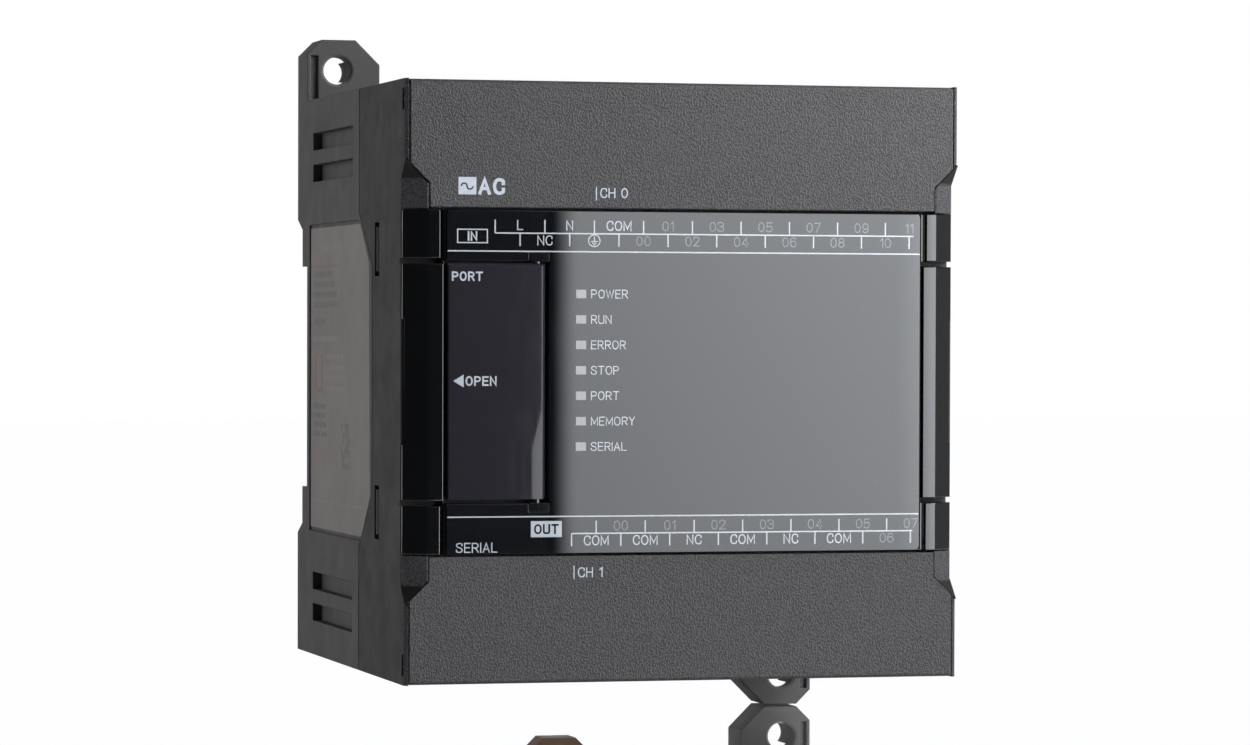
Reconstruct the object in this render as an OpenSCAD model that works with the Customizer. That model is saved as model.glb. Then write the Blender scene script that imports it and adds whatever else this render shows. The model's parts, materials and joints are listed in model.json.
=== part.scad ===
// Compact programmable controller: rail-mounted case with screw tabs, two hinged
// terminal covers, a peripheral door, screw terminals, three circuit boards and a rail lock.
// Origin: centre of the rear (wall) plane on the rail centreline. +X right, +Z up, front faces -Y.
// Depths below are counted from the front plane: depth 0 is the front, body_d is the rear plane.

/* [Body] */
// Width of the case
body_w = 86; // [80:1:100]
// Height of the case without the screw tabs
body_h = 90; // [88:1:96]
// Depth of the case
body_d = 85; // [82:1:92]
// Wall thickness of the case
wall = 2.2; // [2:0.1:2.6]
// Height of one screw tab beyond the case
tab_h = 10; // [8:0.5:12]

/* [Wall screws] */
// Distance between the two screw holes along X
hole_pitch_x = 76; // [74:0.5:78]
// Distance between the two screw holes along Z
hole_pitch_z = 100; // [98:0.5:102]
// Diameter of a screw hole
hole_d = 4.5; // [4:0.1:5]

/* [Rail] */
// Height of the rail channel
rail_h = 36; // [35.5:0.1:36.5]
// Width of the rail lock
lock_w = 18; // [14:0.5:20]

/* [Terminals] */
// Distance between neighbouring terminals in a row
pitch = 7.6; // [7.2:0.1:7.6]
// Thickness of a terminal cover
cover_t = 2; // [1.8:0.1:2.2]

/* [Front] */
// Width of the display plate
plate_w = 73.7; // [72.5:0.1:74]
// Height of the display plate and of the gloss band around it
band_h = 51.6; // [50:0.2:52]
// Size of the bevel on the front vertical corners
corner_bevel = 3.3; // [2:0.1:4]

/* [Hidden] */
$fn = 48;
half_w = body_w / 2;
half_h = body_h / 2;
in_w = half_w - wall;
in_h = half_h - wall;
half_band = band_h / 2;

// seam between the two case halves
seam_far = 34.5;
seam_near = 24.4;
seam_far_z = 26;
seam_near_z = 17.5;

// rail side of the rear case
groove_floor = 77;
land_floor = 81;
land_z = 24;
rail_back_wall = 2.2;
half_rail = rail_h / 2;

// front end
cover_gap = 0.2;
skin = 0.6;
deck_front = corner_bevel;
deck_back = 5.5;
bay_floor_front = 15.5;
bay_floor_back = 17.5;
bay_in = 27.9;
notch_x = 39.5;
notch_z = 29.5;
run_out = 3.1;
bevel_turn = atan2(corner_bevel, half_w - notch_x);

// gloss band: display plate between two columns, each split into three segments
plate_x = 0.25;
plate_front = 0.3;
plate_back = 1.6;
rim_x = plate_w / 2 + 0.3;
rim_t = 0.2;
pocket_x = 0.15;
pocket_mid = plate_w / 2 + 0.47;
pocket_end = plate_w / 2 + 0.95;
split_z = 18;
split_h = 0.8;
split_low = split_z - split_h / 2;
split_high = split_z + split_h / 2;

// cover hinges
hinge_d = 4.2;
hinge_z = half_h - 2.4;
hinge_pin_r = 1;
hinge_bore_r = 1.1;
hinge_boss_r = 2.1;
ear_x = 39.4;
ear_t = 1.2;

// door and what lies behind it
door_x0 = -36.5;
door_x1 = -21.6;
door_z0 = -17.4;
door_z1 = 17.7;
door_open_x1 = -21.05;
door_open_z = 18.1;
door_axis_x = -22.7;
door_axis_d = 1.25;
door_t = 1.9;
bay_x0 = -36.2;
bay_x1 = -22;
bay_z = 16.5;
bay_deck = 9.5;
usb_x = -29;
usb_z = 4;
trim_x = [-32.6, -25.4];
trim_z = -8.6;

// circuit boards
cpu_d = 20;
io_d = 33;
power_d = 66;
board_t = 1.6;
post_x = 35;
post_z = 33.5;
cpu_post_x = 36.6;
cpu_post_z = 14.6;

// indicators
led_x = -16.1;
led_top = 13.2;
led_step = 3.8;
led_size = [1.55, 1.27];
input_odd = [for (i = [0:5]) -25.55 + pitch * (i + 3)];
input_even = [for (i = [0:5]) -21.73 + pitch * (i + 2)];
output_low = [for (i = [0:6]) -10 + pitch * i];
output_last = 31.7;

// terminal blocks
block_in = 29.6;
block_step = 35.8;
block_out = 42.4;
tier_inner = 8.6;
tier_outer = 13;
block_back = 19;
row_inner_z = 32.6;
row_outer_z = 39.2;
input_outer_x = [for (i = [0:8]) -25.55 + pitch * i];
input_inner_x = [for (i = [0:7]) -21.73 + pitch * i];
output_outer_x = [for (i = [0:6]) -13.9 + pitch * i];
output_inner_x = [for (i = [0:6]) -10 + pitch * i];

// serial port
serial_x = -24.6;
serial_d = 26.3;
serial_face = half_h;
jack_dx = 12.5;

// rail lock
lock_slot = 0.2;
lock_d0 = 78.6;
lock_d1 = 81.2;

// ---------- helpers ----------

// a block given by its spans along X, depth and Z
module block(x, d, z) {
    translate([x[0], d[0] - body_d, z[0]])
        cube([x[1] - x[0], d[1] - d[0], z[1] - z[0]]);
}

// a cylinder along the depth, from depth d[0] to d[1]
module rod(x, d, z, r) {
    translate([x, d[0] - body_d, z])
        rotate([-90, 0, 0])
            cylinder(r = r, h = d[1] - d[0]);
}

// a cylinder along X
module rod_x(x, d, z, r) {
    translate([x[0], d - body_d, z])
        rotate([0, 90, 0])
            cylinder(r = r, h = x[1] - x[0]);
}

// a cylinder along Z
module rod_z(x, d, z, r) {
    translate([x, d - body_d, z[0]])
        cylinder(r = r, h = z[1] - z[0]);
}

// a side profile, points as [depth, z], drawn out along X
module side_profile(points, x) {
    translate([x[0], -body_d, 0])
        rotate([90, 0, 90])
            linear_extrude(height = x[1] - x[0])
                polygon(points);
}

// a front outline, points as [x, z], drawn out along the depth
module front_outline(points, d) {
    translate([0, d[1] - body_d, 0])
        rotate([90, 0, 0])
            linear_extrude(height = d[1] - d[0])
                polygon(points);
}

// a plan outline, points as [x, depth], drawn out along Z
module plan_outline(points, z) {
    translate([0, -body_d, z[0]])
        linear_extrude(height = z[1] - z[0])
            polygon(points);
}

module both_ends() {
    children();
    mirror([0, 0, 1]) children();
}

module both_sides() {
    children();
    mirror([1, 0, 0]) children();
}

// turns a piece half a turn about the depth axis
module half_turn() {
    rotate([0, 180, 0]) children();
}

// ---------- case ----------

function seam_line() = [[seam_far, half_h], [seam_far, seam_far_z], [seam_near, seam_near_z],
    [seam_near, -seam_near_z], [seam_far, -seam_far_z], [seam_far, -half_h]];

module rear_outer() {
    side_profile(concat(seam_line(), [[body_d, -half_h], [body_d, -land_z - 1.7],
        [land_floor, -land_z], [land_floor, -half_rail], [groove_floor, -half_rail],
        [groove_floor, half_rail], [land_floor, half_rail], [land_floor, land_z],
        [body_d, land_z + 1.7], [body_d, half_h]]), [-half_w, half_w]);
}

module rear_cavity() {
    back = body_d - wall;
    land = land_floor - rail_back_wall;
    groove = groove_floor - rail_back_wall;
    side_profile([[seam_near - 5, in_h], [back, in_h], [back, land_z + 4], [land, land_z + 2],
        [land, half_rail + 2], [groove, half_rail + 2], [groove, -half_rail - 2],
        [land, -half_rail - 2], [land, -land_z - 2], [back, -land_z - 4], [back, -in_h],
        [seam_near - 5, -in_h]], [-in_w, in_w]);
}

// upper left screw tab with its hollow rear
module screw_tab() {
    hx = hole_pitch_x / 2;
    hz = hole_pitch_z / 2;
    top = half_h + tab_h;
    front = body_d - 8;
    outer = [[-half_w, half_h - 1], [-half_w, top - 2.4], [-half_w + 2.4, top],
        [-35, top], [-31, top - 4], [-31, half_h - 1]];
    difference() {
        front_outline(outer, [front, body_d]);
        // hollow rear, split by a rib at the height of the hole
        block([-half_w + 1.3, -32.2], [front + 3, body_d + 1], [half_h + 0.2, hz - 1.55]);
        front_outline([[-half_w + 1.3, hz + 1.55], [-half_w + 1.3, top - 3],
            [-half_w + 3, top - 1.2], [-35.5, top - 1.2], [-33.3, hz + 1.55]],
            [front + 3, body_d + 1]);
        // shallow channel beside the outer edge
        block([-half_w + 0.6, -half_w + 1.8], [front - 1, front + 0.8], [half_h - 2, top - 2.6]);
        rod(-hx, [front - 1, body_d + 1], hz, hole_d / 2);
        translate([-hx, front - 0.01 - body_d, hz])
            rotate([-90, 0, 0])
                cylinder(r1 = hole_d / 2 + 0.35, r2 = hole_d / 2, h = 0.35);
    }
}

// blind grip slots on the outer side
module side_slots() {
    for (z = [31.6, 36.7])
        block([-half_w - 1, -half_w + 1.5], [39.5, 71.8], [z, z + 2.8]);
}

module label_outline(grow) {
    points = [[74.4 + grow, 24.2 + grow], [34.2, 24.2 + grow], [27.2 - grow, 18],
        [26.4 - grow, -17.8], [33.1, -24.4 - grow], [74.4 + grow, -24.4 - grow]];
    side_profile(points, [-half_w - 1, -half_w + 0.35]);
}

// post that carries the two rear boards
module board_post() {
    rod(-post_x, [power_d + board_t, body_d - wall + 0.5], post_z, 4.2);
    rod(-post_x, [io_d + board_t, power_d + board_t + 1], post_z, 3);
}

// spring tongue that clips into a slot of the front case
module snap_tongue() {
    block([-in_w + 0.1, -in_w + 1.5], [18.4, 40], [16.6, 23.4]);
    block([-in_w - 0.4, -in_w + 1.5], [36.5, 40], [16.6, 23.4]);
    // hook that stands in the slot
    plan_outline([[-in_w + 0.2, 20], [-half_w + 0.2, 21.5], [-half_w + 0.2, 22],
        [-in_w + 0.2, 22]], [16.6, 23.4]);
}

// solid land behind the rail lock, and the slot it slides in
module lock_land() {
    block([-13, 13], [groove_floor - rail_back_wall, body_d], [-half_h, -half_rail]);
}

module lock_slot_cut() {
    half = lock_w / 2 + lock_slot;
    block([-half, half], [lock_d0 - lock_slot, lock_d1 + lock_slot], [-half_h - 1, -half_rail + 1]);
    block([-6.2, 6.2], [lock_d1, body_d + 1], [-half_h - 1, -half_rail + 1]);
    block([-half, half], [lock_d0 - lock_slot, body_d + 1], [-half_h - 1, -half_h + 1.6]);
}

module rear_case() {
    color([0.24, 0.23, 0.22])
    difference() {
        union() {
            difference() {
                rear_outer();
                rear_cavity();
            }
            screw_tab();
            half_turn() screw_tab();
            both_sides() both_ends() board_post();
            both_sides() both_ends() snap_tongue();
            difference() {
                lock_land();
                block([-14, 14], [body_d - 4, body_d + 1], [-land_z, -half_rail + 1]);
            }
            // fixed claws over the upper lip of the rail
            for (x = [-26, 26])
                block([x - 6, x + 6], [78.6, land_floor], [15.9, half_rail + 0.5]);
        }
        both_ends() side_slots();
        label_outline(0.5);
        lock_slot_cut();
        both_sides() both_ends() rod(-post_x, [io_d, io_d + 12], post_z, 1.25);
    }
}

module front_shell_outer() {
    front = cover_t + cover_gap;
    // main block behind the covers
    side_profile(concat([[front, half_h]], seam_line(), [[front, -half_h], [front, -half_band],
        [deck_front, -half_band], [deck_front, half_band], [front, half_band]]), [-half_w, half_w]);
    // thin outer skin beside each cover, bevelled at the front
    both_sides() both_ends()
        plan_outline([[-half_w, 0.7], [-half_w + 0.5, 0.1], [-half_w + skin, 0.1],
            [-half_w + skin, cover_t + 1], [-half_w, cover_t + 1]], [notch_z + 2.6, half_h]);
}

// corner under the finger notch of a cover
module corner_block() {
    front_outline([[-notch_x + 0.1, half_band], [-notch_x + 0.1, notch_z], [-notch_x, notch_z],
        [-half_w, notch_z + 3.6], [-half_w, half_band]], [0.1, cover_t + 2]);
}

// bevel of that corner, which runs out towards the tip of the notch; it clears the
// edge of the deck by a hair
module corner_relief() {
    run_tilt = atan2(corner_bevel * cos(bevel_turn), run_out);
    translate([-notch_x, -body_d - 0.04, notch_z + 0.5])
        rotate([0, 0, -bevel_turn]) {
            translate([-9, -9, -notch_z + half_band - 1])
                cube([10, 9, notch_z - half_band + 1]);
            rotate([run_tilt, 0, 0])
                translate([-9, -9, 0])
                    cube([10, 9, 7]);
        }
}

// shadow line along the seam with the rear half
module seam_groove() {
    w = 0.45;
    deep = 0.3;
    line = seam_line();
    near = [for (i = [len(line) - 1:-1:0]) [line[i][0] - w, line[i][1]]];
    both_sides()
        side_profile(concat(line, near), [half_w - deep, half_w + 1]);
    both_ends()
        block([-half_w - 1, half_w + 1], [seam_far - w, seam_far], [half_h - deep, half_h + 1]);
}

// terminal bay, open at the front and at the end of the case
module terminal_bay() {
    block([-in_w, in_w], [-1, bay_floor_front], [bay_in, half_h + 1]);
    // room for the cover's rear edge, around the hinge boss
    both_sides()
        difference() {
            rod_x([-half_w + skin, -in_w + 0.1], hinge_d, hinge_z, 5.1);
            rod_x([-half_w + skin - 1, -in_w + 1], hinge_d, hinge_z, hinge_boss_r);
        }
    both_sides() {
        rod_x([-half_w + skin, -in_w + 1], hinge_d, hinge_z, hinge_bore_r);
        block([-half_w - 1, -half_w + skin + 0.01], [0.8, 2.1], [40.4, 43.6]);
    }
}

// latch slot with a grip lip, on the side of the case
module snap_slot() {
    block([-half_w - 1, -in_w + 1], [18.9, 22.2], [15.9, 24.1]);
}

// boxed bay behind the peripheral door
module peripheral_bay_walls() {
    block([bay_x0 - 1.2, bay_x1 + 1.2], [deck_back - 0.5, bay_deck + 1.5],
        [-bay_z - 1.2, bay_z + 1.2]);
}

module peripheral_bay_cut() {
    block([bay_x0, bay_x1], [-1, bay_deck], [-bay_z, bay_z]);
    block([usb_x - 6.3, usb_x + 6.3], [bay_deck - 1, bay_deck + 3], [usb_z - 5.8, usb_z + 5.8]);
    for (x = trim_x)
        rod(x, [bay_deck - 1, bay_deck + 3], trim_z, 2.9);
}

// windows for the light guides in the bezel and in the deck behind it
module guide_windows(d) {
    for (i = [0:6])
        block([led_x - 0.9, led_x + 0.9], d,
            [led_top - led_step * i - 0.75, led_top - led_step * i + 0.75]);
    for (x = input_odd)
        block([x - 1.3, x + 1.3], d, [22.5, 24.1]);
    for (x = input_even)
        block([x - 1.3, x + 1.3], d, [20.4, 22]);
    for (x = output_low)
        block([x - 1.3, x + 1.3], d, [-22.3, -20.7]);
    block([output_last - 1.3, output_last + 1.3], d, [-24.4, -22.8]);
}

module front_case() {
    color([0.20, 0.19, 0.19])
    difference() {
        union() {
            difference() {
                front_shell_outer();
                // interior behind the deck and behind the terminal bays
                block([-in_w, in_w], [bay_floor_back, 50], [-in_h, in_h]);
                block([-in_w, in_w], [deck_back, bay_floor_back + 1], [-half_band, half_band]);
                both_ends() terminal_bay();
            }
            both_sides() both_ends() corner_block();
            peripheral_bay_walls();
            // posts for the front board
            both_sides() both_ends()
                rod(-cpu_post_x, [deck_back - 1, cpu_d], cpu_post_z, 2.6);
        }
        // through cuts for the two terminal blocks
        block([-33.6, 39.4], [bay_floor_front - 1, bay_floor_back + 1],
            [block_in - 0.2, block_out + 0.2]);
        block([-21.6, 39.4], [bay_floor_front - 1, bay_floor_back + 1],
            [-block_out - 0.2, -block_in + 0.2]);
        both_sides() both_ends() {
            snap_slot();
            corner_relief();
            rod(-cpu_post_x, [cpu_d - 8, cpu_d + 1], cpu_post_z, 0.9);
        }
        // the gap between two column segments runs on into the deck and the side wall
        both_ends() {
            block([-half_w - 1, -notch_x + 2], [-1, deck_front + 0.4], [split_low, split_high]);
            block([notch_x - 2, half_w + 1], [-1, deck_front + 1.6], [split_low, split_high]);
            block([in_w - 0.1, half_w + 1], [-1, deck_back - 0.2], [split_low, split_high]);
        }
        seam_groove();
        // serial connector opening in the lower wall
        block([serial_x - 15.7, serial_x + 15.7], [19.8, 32.8], [-half_h - 1, -in_h + 1]);
        peripheral_bay_cut();
        guide_windows([deck_front - 1, deck_back + 1]);
    }
}

// gloss frame with the two columns; carries the display plate and the door
module front_bezel() {
    rear = deck_front - 0.05;
    floor_d = plate_back + 0.1;
    top = half_band - 0.2;
    color([0.03, 0.03, 0.035])
    difference() {
        union() {
            plan_outline([[-half_w + 0.1, rear - 0.35], [-notch_x, 0], [notch_x, 0],
                [half_w - 0.1, rear - 0.35], [half_w - 0.1, rear], [-half_w + 0.1, rear]],
                [-top, top]);
            // hinge lugs of the door
            both_ends()
                block([door_axis_x - 1.3, door_axis_x + 1.7], [0.25, 2],
                    [door_open_z - 0.1, door_open_z + 1.1]);
        }
        // pocket of the plate, a little wider beside the end segments
        difference() {
            block([pocket_x - pocket_mid, pocket_x + pocket_mid], [-1, floor_d],
                [-half_band, half_band]);
            both_ends()
                block([door_axis_x - 1.3, door_axis_x + 1.7], [0.25, 3],
                    [door_open_z - 0.1, door_open_z + 1.1]);
        }
        both_ends()
            difference() {
                block([pocket_x - pocket_end, pocket_x + pocket_end], [-1, floor_d],
                    [split_low, half_band]);
                block([pocket_x - pocket_mid + 0.1, pocket_x + pocket_mid - 0.1], [-2, floor_d + 1],
                    [split_low - 1, half_band + 1]);
            }
        both_ends() both_sides()
            block([-half_w - 1, -pocket_mid + 0.3], [-1, 4], [split_low, split_high]);
        // narrow shadow gap beside the middle of each column
        both_sides()
            block([-half_w - 1, -half_w + 0.6], [deck_front - 0.6, 4], [-9.3, 9.3]);
        block([door_x0 - 0.3, door_open_x1], [-1, 4], [-door_open_z + 0.1, door_open_z - 0.1]);
        both_ends() rod_z(door_axis_x, door_axis_d, [door_open_z - 1, door_open_z + 0.9], 0.7);
        guide_windows([-1, 4]);
    }
}

// fine rim that stands between the plate and the end segments of the columns
module plate_rim() {
    color([0.03, 0.03, 0.035])
    both_ends()
        for (x = [plate_x - rim_x, plate_x + rim_x])
            block([x - rim_t / 2, x + rim_t / 2], [0.45, plate_back + 0.1],
                [split_high, half_band - 0.3]);
}

// front label plate with a cut-out for the door
module display_plate() {
    r = 0.7;
    hw = plate_w / 2;
    hz = half_band - 0.25;
    color([0.05, 0.05, 0.055])
    difference() {
        translate([plate_x, 0, 0])
            union() {
                block([-hw + r, hw - r], [plate_front, plate_back], [-hz, hz]);
                block([-hw, hw], [plate_front, plate_back], [-hz + r, hz - r]);
                for (x = [-hw + r, hw - r])
                    for (z = [-hz + r, hz - r])
                        rod(x, [plate_front, plate_back], z, r);
            }
        block([-hw - 1, door_open_x1], [0, 2], [-door_open_z, door_open_z]);
        both_ends()
            block([door_axis_x - 1.4, door_axis_x + 1.8], [0, 2], [door_open_z - 1, door_open_z + 1.2]);
    }
}

module peripheral_door() {
    bevel = 0.45;
    color([0.06, 0.055, 0.065]) {
        difference() {
            plan_outline([[door_x0, 0.45], [door_x0 + 0.3, 0.1], [door_x1 - bevel, 0.1],
                [door_x1, 0.1 + bevel], [door_x1, door_t], [door_x0, door_t]], [door_z0, door_z1]);
            // bevel along the upper edge and the tray behind the door
            translate([0, 0.1 - body_d, door_z1])
                rotate([45, 0, 0])
                    cube([90, 0.6, 0.6], center = true);
            block([door_x0 + 1.2, door_x1 - 2.2], [1.2, 3], [door_z0 + 1.2, door_z1 - 1.2]);
        }
        rod_z(door_axis_x, door_axis_d, [door_z1 - 0.5, door_open_z + 0.8], 0.6);
        rod_z(door_axis_x, door_axis_d, [-door_open_z - 0.8, door_z0 + 0.5], 0.6);
    }
}

// upper terminal cover; the lower one is its mirror image
module terminal_cover() {
    edge = half_w - skin - 0.15;
    inner = half_band + 0.15;
    slope = notch_z + (edge - notch_x) + 0.2;
    outline = [[-notch_x + 0.2, inner], [notch_x - 0.2, inner], [notch_x - 0.2, notch_z + 0.1],
        [edge, slope], [edge, half_h - 0.1], [-edge, half_h - 0.1], [-edge, slope],
        [-notch_x + 0.2, notch_z + 0.1]];
    difference() {
        front_outline(outline, [0, cover_t]);
        // eased outer edge
        translate([0, -body_d, half_h - 0.1])
            rotate([45, 0, 0])
                cube([90, 0.6, 0.6], center = true);
    }
    both_sides() {
        // hinge ear with its pin
        block([-ear_x - ear_t, -ear_x], [cover_t - 0.5, hinge_d], [hinge_z - 1.7, hinge_z + 1.7]);
        rod_x([-ear_x - ear_t, -ear_x], hinge_d, hinge_z, 1.7);
        rod_x([-ear_x - ear_t - 1.2, -ear_x - 0.2], hinge_d, hinge_z, hinge_pin_r);
        // latch tongue
        block([-34, -30], [cover_t - 0.5, 5.6], [28.4, 29.3]);
    }
}

module input_terminal_cover() {
    color([0.30, 0.30, 0.30]) terminal_cover();
}

module output_terminal_cover() {
    color([0.30, 0.30, 0.30]) mirror([0, 0, 1]) terminal_cover();
}

// sliding lock that grips the lower lip of the rail
module rail_lock() {
    half = lock_w / 2;
    grip = half_h + 5.3;
    color([0.42, 0.27, 0.10])
    difference() {
        union() {
            block([-half, half], [lock_d0, lock_d1], [-half_h + 1.8, -half_rail - 0.3]);
            block([-6, 6], [lock_d0, lock_d1], [-half_h - 0.5, -half_rail + 2.2]);
            block([-5.9, 5.9], [lock_d0, body_d - 2], [-half_h - 0.5, -half_rail - 6]);
            front_outline([[-6, -half_h - 0.3], [-6, -grip + 3.2], [-2.8, -grip], [2.8, -grip],
                [6, -grip + 3.2], [6, -half_h - 0.3]], [lock_d0, body_d - 1]);
        }
        // screwdriver slot
        block([-2.2, 2.2], [lock_d0 - 1, body_d], [-grip + 2.2, -grip + 4]);
    }
}

module rating_label() {
    color([0.45, 0.44, 0.43])
    intersection() {
        label_outline(-0.1);
        block([-half_w + 0.15, -half_w + 0.35], [0, body_d], [-half_h, half_h]);
    }
}

// ---------- screw terminals ----------

// ribs between the terminals of one row
module barriers(xs, d, z) {
    for (x = xs)
        block([x - pitch / 2 - 0.6, x - pitch / 2 + 0.6], d, z);
    last = xs[len(xs) - 1] + pitch / 2;
    block([last - 0.6, min(last + 0.6, 39.2)], d, z);
}

module terminal_block(inner_x, outer_x) {
    x0 = min(inner_x[0], outer_x[0]) - pitch / 2 - 0.6;
    difference() {
        union() {
            side_profile([[tier_inner, block_in], [tier_inner, block_step], [tier_outer, block_step],
                [tier_outer, block_out], [block_back, block_out], [block_back, block_in]], [x0, 39.2]);
            barriers(inner_x, [4.4, tier_inner + 0.5], [block_in, block_step]);
            barriers(outer_x, [8.6, tier_outer + 0.5], [block_step - 0.5, block_out]);
        }
        for (x = inner_x) {
            rod(x, [tier_inner - 1, tier_inner + 7], row_inner_z, 1.6);
            block([x - 1.1, x + 1.1], [tier_inner - 1, block_back + 1],
                [block_in + 0.3, block_in + 1.3]);
        }
        for (x = outer_x) {
            rod(x, [tier_outer - 1, tier_outer + 5], row_outer_z, 1.6);
            block([x - 1.1, x + 1.1], [tier_outer - 1, block_back + 1],
                [block_step + 0.3, block_step + 1.3]);
        }
    }
}

// tinned plate under each clamp, with its leg to the signal board
module contact(x, tier, z, leg_z) {
    difference() {
        block([x - 3, x + 3], [tier - 0.8, tier], [leg_z, z + 2.8]);
        rod(x, [tier - 2, tier + 1], z, 1.5);
    }
    block([x - 1, x + 1], [tier - 0.1, io_d], [leg_z, leg_z + 0.8]);
}

module contacts(inner_x, outer_x) {
    for (x = inner_x) contact(x, tier_inner, row_inner_z, block_in + 0.4);
    for (x = outer_x) contact(x, tier_outer, row_outer_z, block_step + 0.4);
}

module clamp_plate(x, tier, z) {
    difference() {
        block([x - 2.9, x + 2.9], [tier - 1.6, tier - 0.8], [z - 2.6, z + 2.6]);
        rod(x, [tier - 3, tier], z, 1.55);
    }
}

module clamp_plates(inner_x, outer_x) {
    for (x = inner_x) clamp_plate(x, tier_inner, row_inner_z);
    for (x = outer_x) clamp_plate(x, tier_outer, row_outer_z);
}

module terminal_screw(x, tier, z, shank) {
    head = tier - 1.6;
    difference() {
        union() {
            rod(x, [head - 1.7, head], z, 2.5);
            rod(x, [head - 0.5, tier + shank], z, 1.5);
        }
        block([x - 1.8, x + 1.8], [head - 2, head - 0.8], [z - 0.35, z + 0.35]);
        block([x - 0.35, x + 0.35], [head - 2, head - 0.8], [z - 1.8, z + 1.8]);
    }
}

module terminal_screws(inner_x, outer_x) {
    for (x = inner_x) terminal_screw(x, tier_inner, row_inner_z, 5);
    for (x = outer_x) terminal_screw(x, tier_outer, row_outer_z, 4);
}

module input_terminal_block() {
    color([0.07, 0.07, 0.07]) terminal_block(input_inner_x, input_outer_x);
}

module output_terminal_block() {
    color([0.07, 0.07, 0.07]) mirror([0, 0, 1]) terminal_block(output_inner_x, output_outer_x);
}

module input_contacts() {
    color([0.75, 0.74, 0.70]) contacts(input_inner_x, input_outer_x);
}

module output_contacts() {
    color([0.75, 0.74, 0.70]) mirror([0, 0, 1]) contacts(output_inner_x, output_outer_x);
}

module input_clamp_plates() {
    color([0.72, 0.72, 0.74]) clamp_plates(input_inner_x, input_outer_x);
}

module output_clamp_plates() {
    color([0.72, 0.72, 0.74]) mirror([0, 0, 1]) clamp_plates(output_inner_x, output_outer_x);
}

module input_terminal_screws() {
    color([0.78, 0.77, 0.72]) terminal_screws(input_inner_x, input_outer_x);
}

module output_terminal_screws() {
    color([0.78, 0.77, 0.72]) mirror([0, 0, 1]) terminal_screws(output_inner_x, output_outer_x);
}

// ---------- indicators ----------

guide_d = [1.65, 19];

module status_light_guides() {
    color([0.80, 0.80, 0.82])
    for (i = [0:6])
        block([led_x - led_size[0] / 2, led_x + led_size[0] / 2], guide_d,
            [led_top - led_step * i - led_size[1] / 2, led_top - led_step * i + led_size[1] / 2]);
}

module signal_marks(w, h, d) {
    for (x = input_odd) block([x - w / 2, x + w / 2], d, [23.3 - h / 2, 23.3 + h / 2]);
    for (x = input_even) block([x - w / 2, x + w / 2], d, [21.2 - h / 2, 21.2 + h / 2]);
    for (x = output_low) block([x - w / 2, x + w / 2], d, [-21.5 - h / 2, -21.5 + h / 2]);
    block([output_last - w / 2, output_last + w / 2], d, [-23.6 - h / 2, -23.6 + h / 2]);
}

module signal_light_guides() {
    color([0.80, 0.80, 0.82]) signal_marks(2.4, 1.4, guide_d);
}

module status_lamps() {
    color([0.55, 0.85, 0.50])
    for (i = [0:6])
        block([led_x - 0.8, led_x + 0.8], [19.2, cpu_d],
            [led_top - led_step * i - 0.4, led_top - led_step * i + 0.4]);
}

module signal_lamps() {
    color([0.90, 0.85, 0.40]) signal_marks(1.6, 0.8, [19.2, cpu_d]);
}

// ---------- connectors and adjusters ----------

// square outline with its two upper corners cut, as on a type B socket
module usb_outline(half_x, half_z, cut, d) {
    translate([usb_x, 0, usb_z])
        front_outline([[-half_x, -half_z], [half_x, -half_z], [half_x, half_z - cut],
            [half_x - cut, half_z], [-half_x + cut, half_z], [-half_x, half_z - cut]], d);
}

module usb_socket_shell() {
    color([0.78, 0.78, 0.80])
    difference() {
        usb_outline(6, 5.45, 2.45, [7.2, cpu_d]);
        usb_outline(5.5, 4.95, 2.2, [6, 18]);
    }
}

module usb_socket_tongue() {
    color([0.92, 0.92, 0.90]) {
        block([usb_x - 2.8, usb_x + 2.8], [8.6, 17], [usb_z - 1.6, usb_z + 1.6]);
        block([usb_x - 5.4, usb_x + 5.4], [16, 18], [usb_z - 4.8, usb_z + 2.5]);
    }
}

module adjuster_bodies() {
    color([0.10, 0.22, 0.50])
    for (x = trim_x)
        difference() {
            block([x - 3.1, x + 3.1], [12, cpu_d], [trim_z - 3.3, trim_z + 3.3]);
            rod(x, [11, 14.5], trim_z, 2.4);
        }
}

// small rotor turned with a screwdriver
module adjuster_knob(x) {
    color([0.90, 0.89, 0.84])
    difference() {
        union() {
            rod(x, [8.2, 12.2], trim_z, 2.3);
            rod(x, [12, 14.2], trim_z, 2.1);
        }
        block([x - 1.9, x + 1.9], [7, 9.4], [trim_z - 0.4, trim_z + 0.4]);
        block([x - 0.4, x + 0.4], [7, 9.4], [trim_z, trim_z + 1.9]);
    }
}

module adjuster_knob_0() {
    adjuster_knob(trim_x[0]);
}

module adjuster_knob_1() {
    adjuster_knob(trim_x[1]);
}

// D-shaped outline of the serial connector, points as [x, depth]
function d_outline(w, h, slant) = [
    [serial_x - w / 2, serial_d - h / 2], [serial_x + w / 2, serial_d - h / 2],
    [serial_x + w / 2 - slant, serial_d + h / 2], [serial_x - w / 2 + slant, serial_d + h / 2]];

module serial_shell() {
    color([0.76, 0.76, 0.78])
    difference() {
        union() {
            block([serial_x - 15.4, serial_x + 15.4], [serial_d - 6.2, serial_d + 6.2], [-39.8, -39]);
            plan_outline(d_outline(17, 8.4, 1.5), [-serial_face + 0.2, -39.5]);
        }
        plan_outline(d_outline(16.2, 7.6, 1.4), [-serial_face - 1, -38]);
        for (side = [-1, 1])
            rod_z(serial_x + side * jack_dx, serial_d, [-41, -38], 1.5);
    }
}

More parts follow.
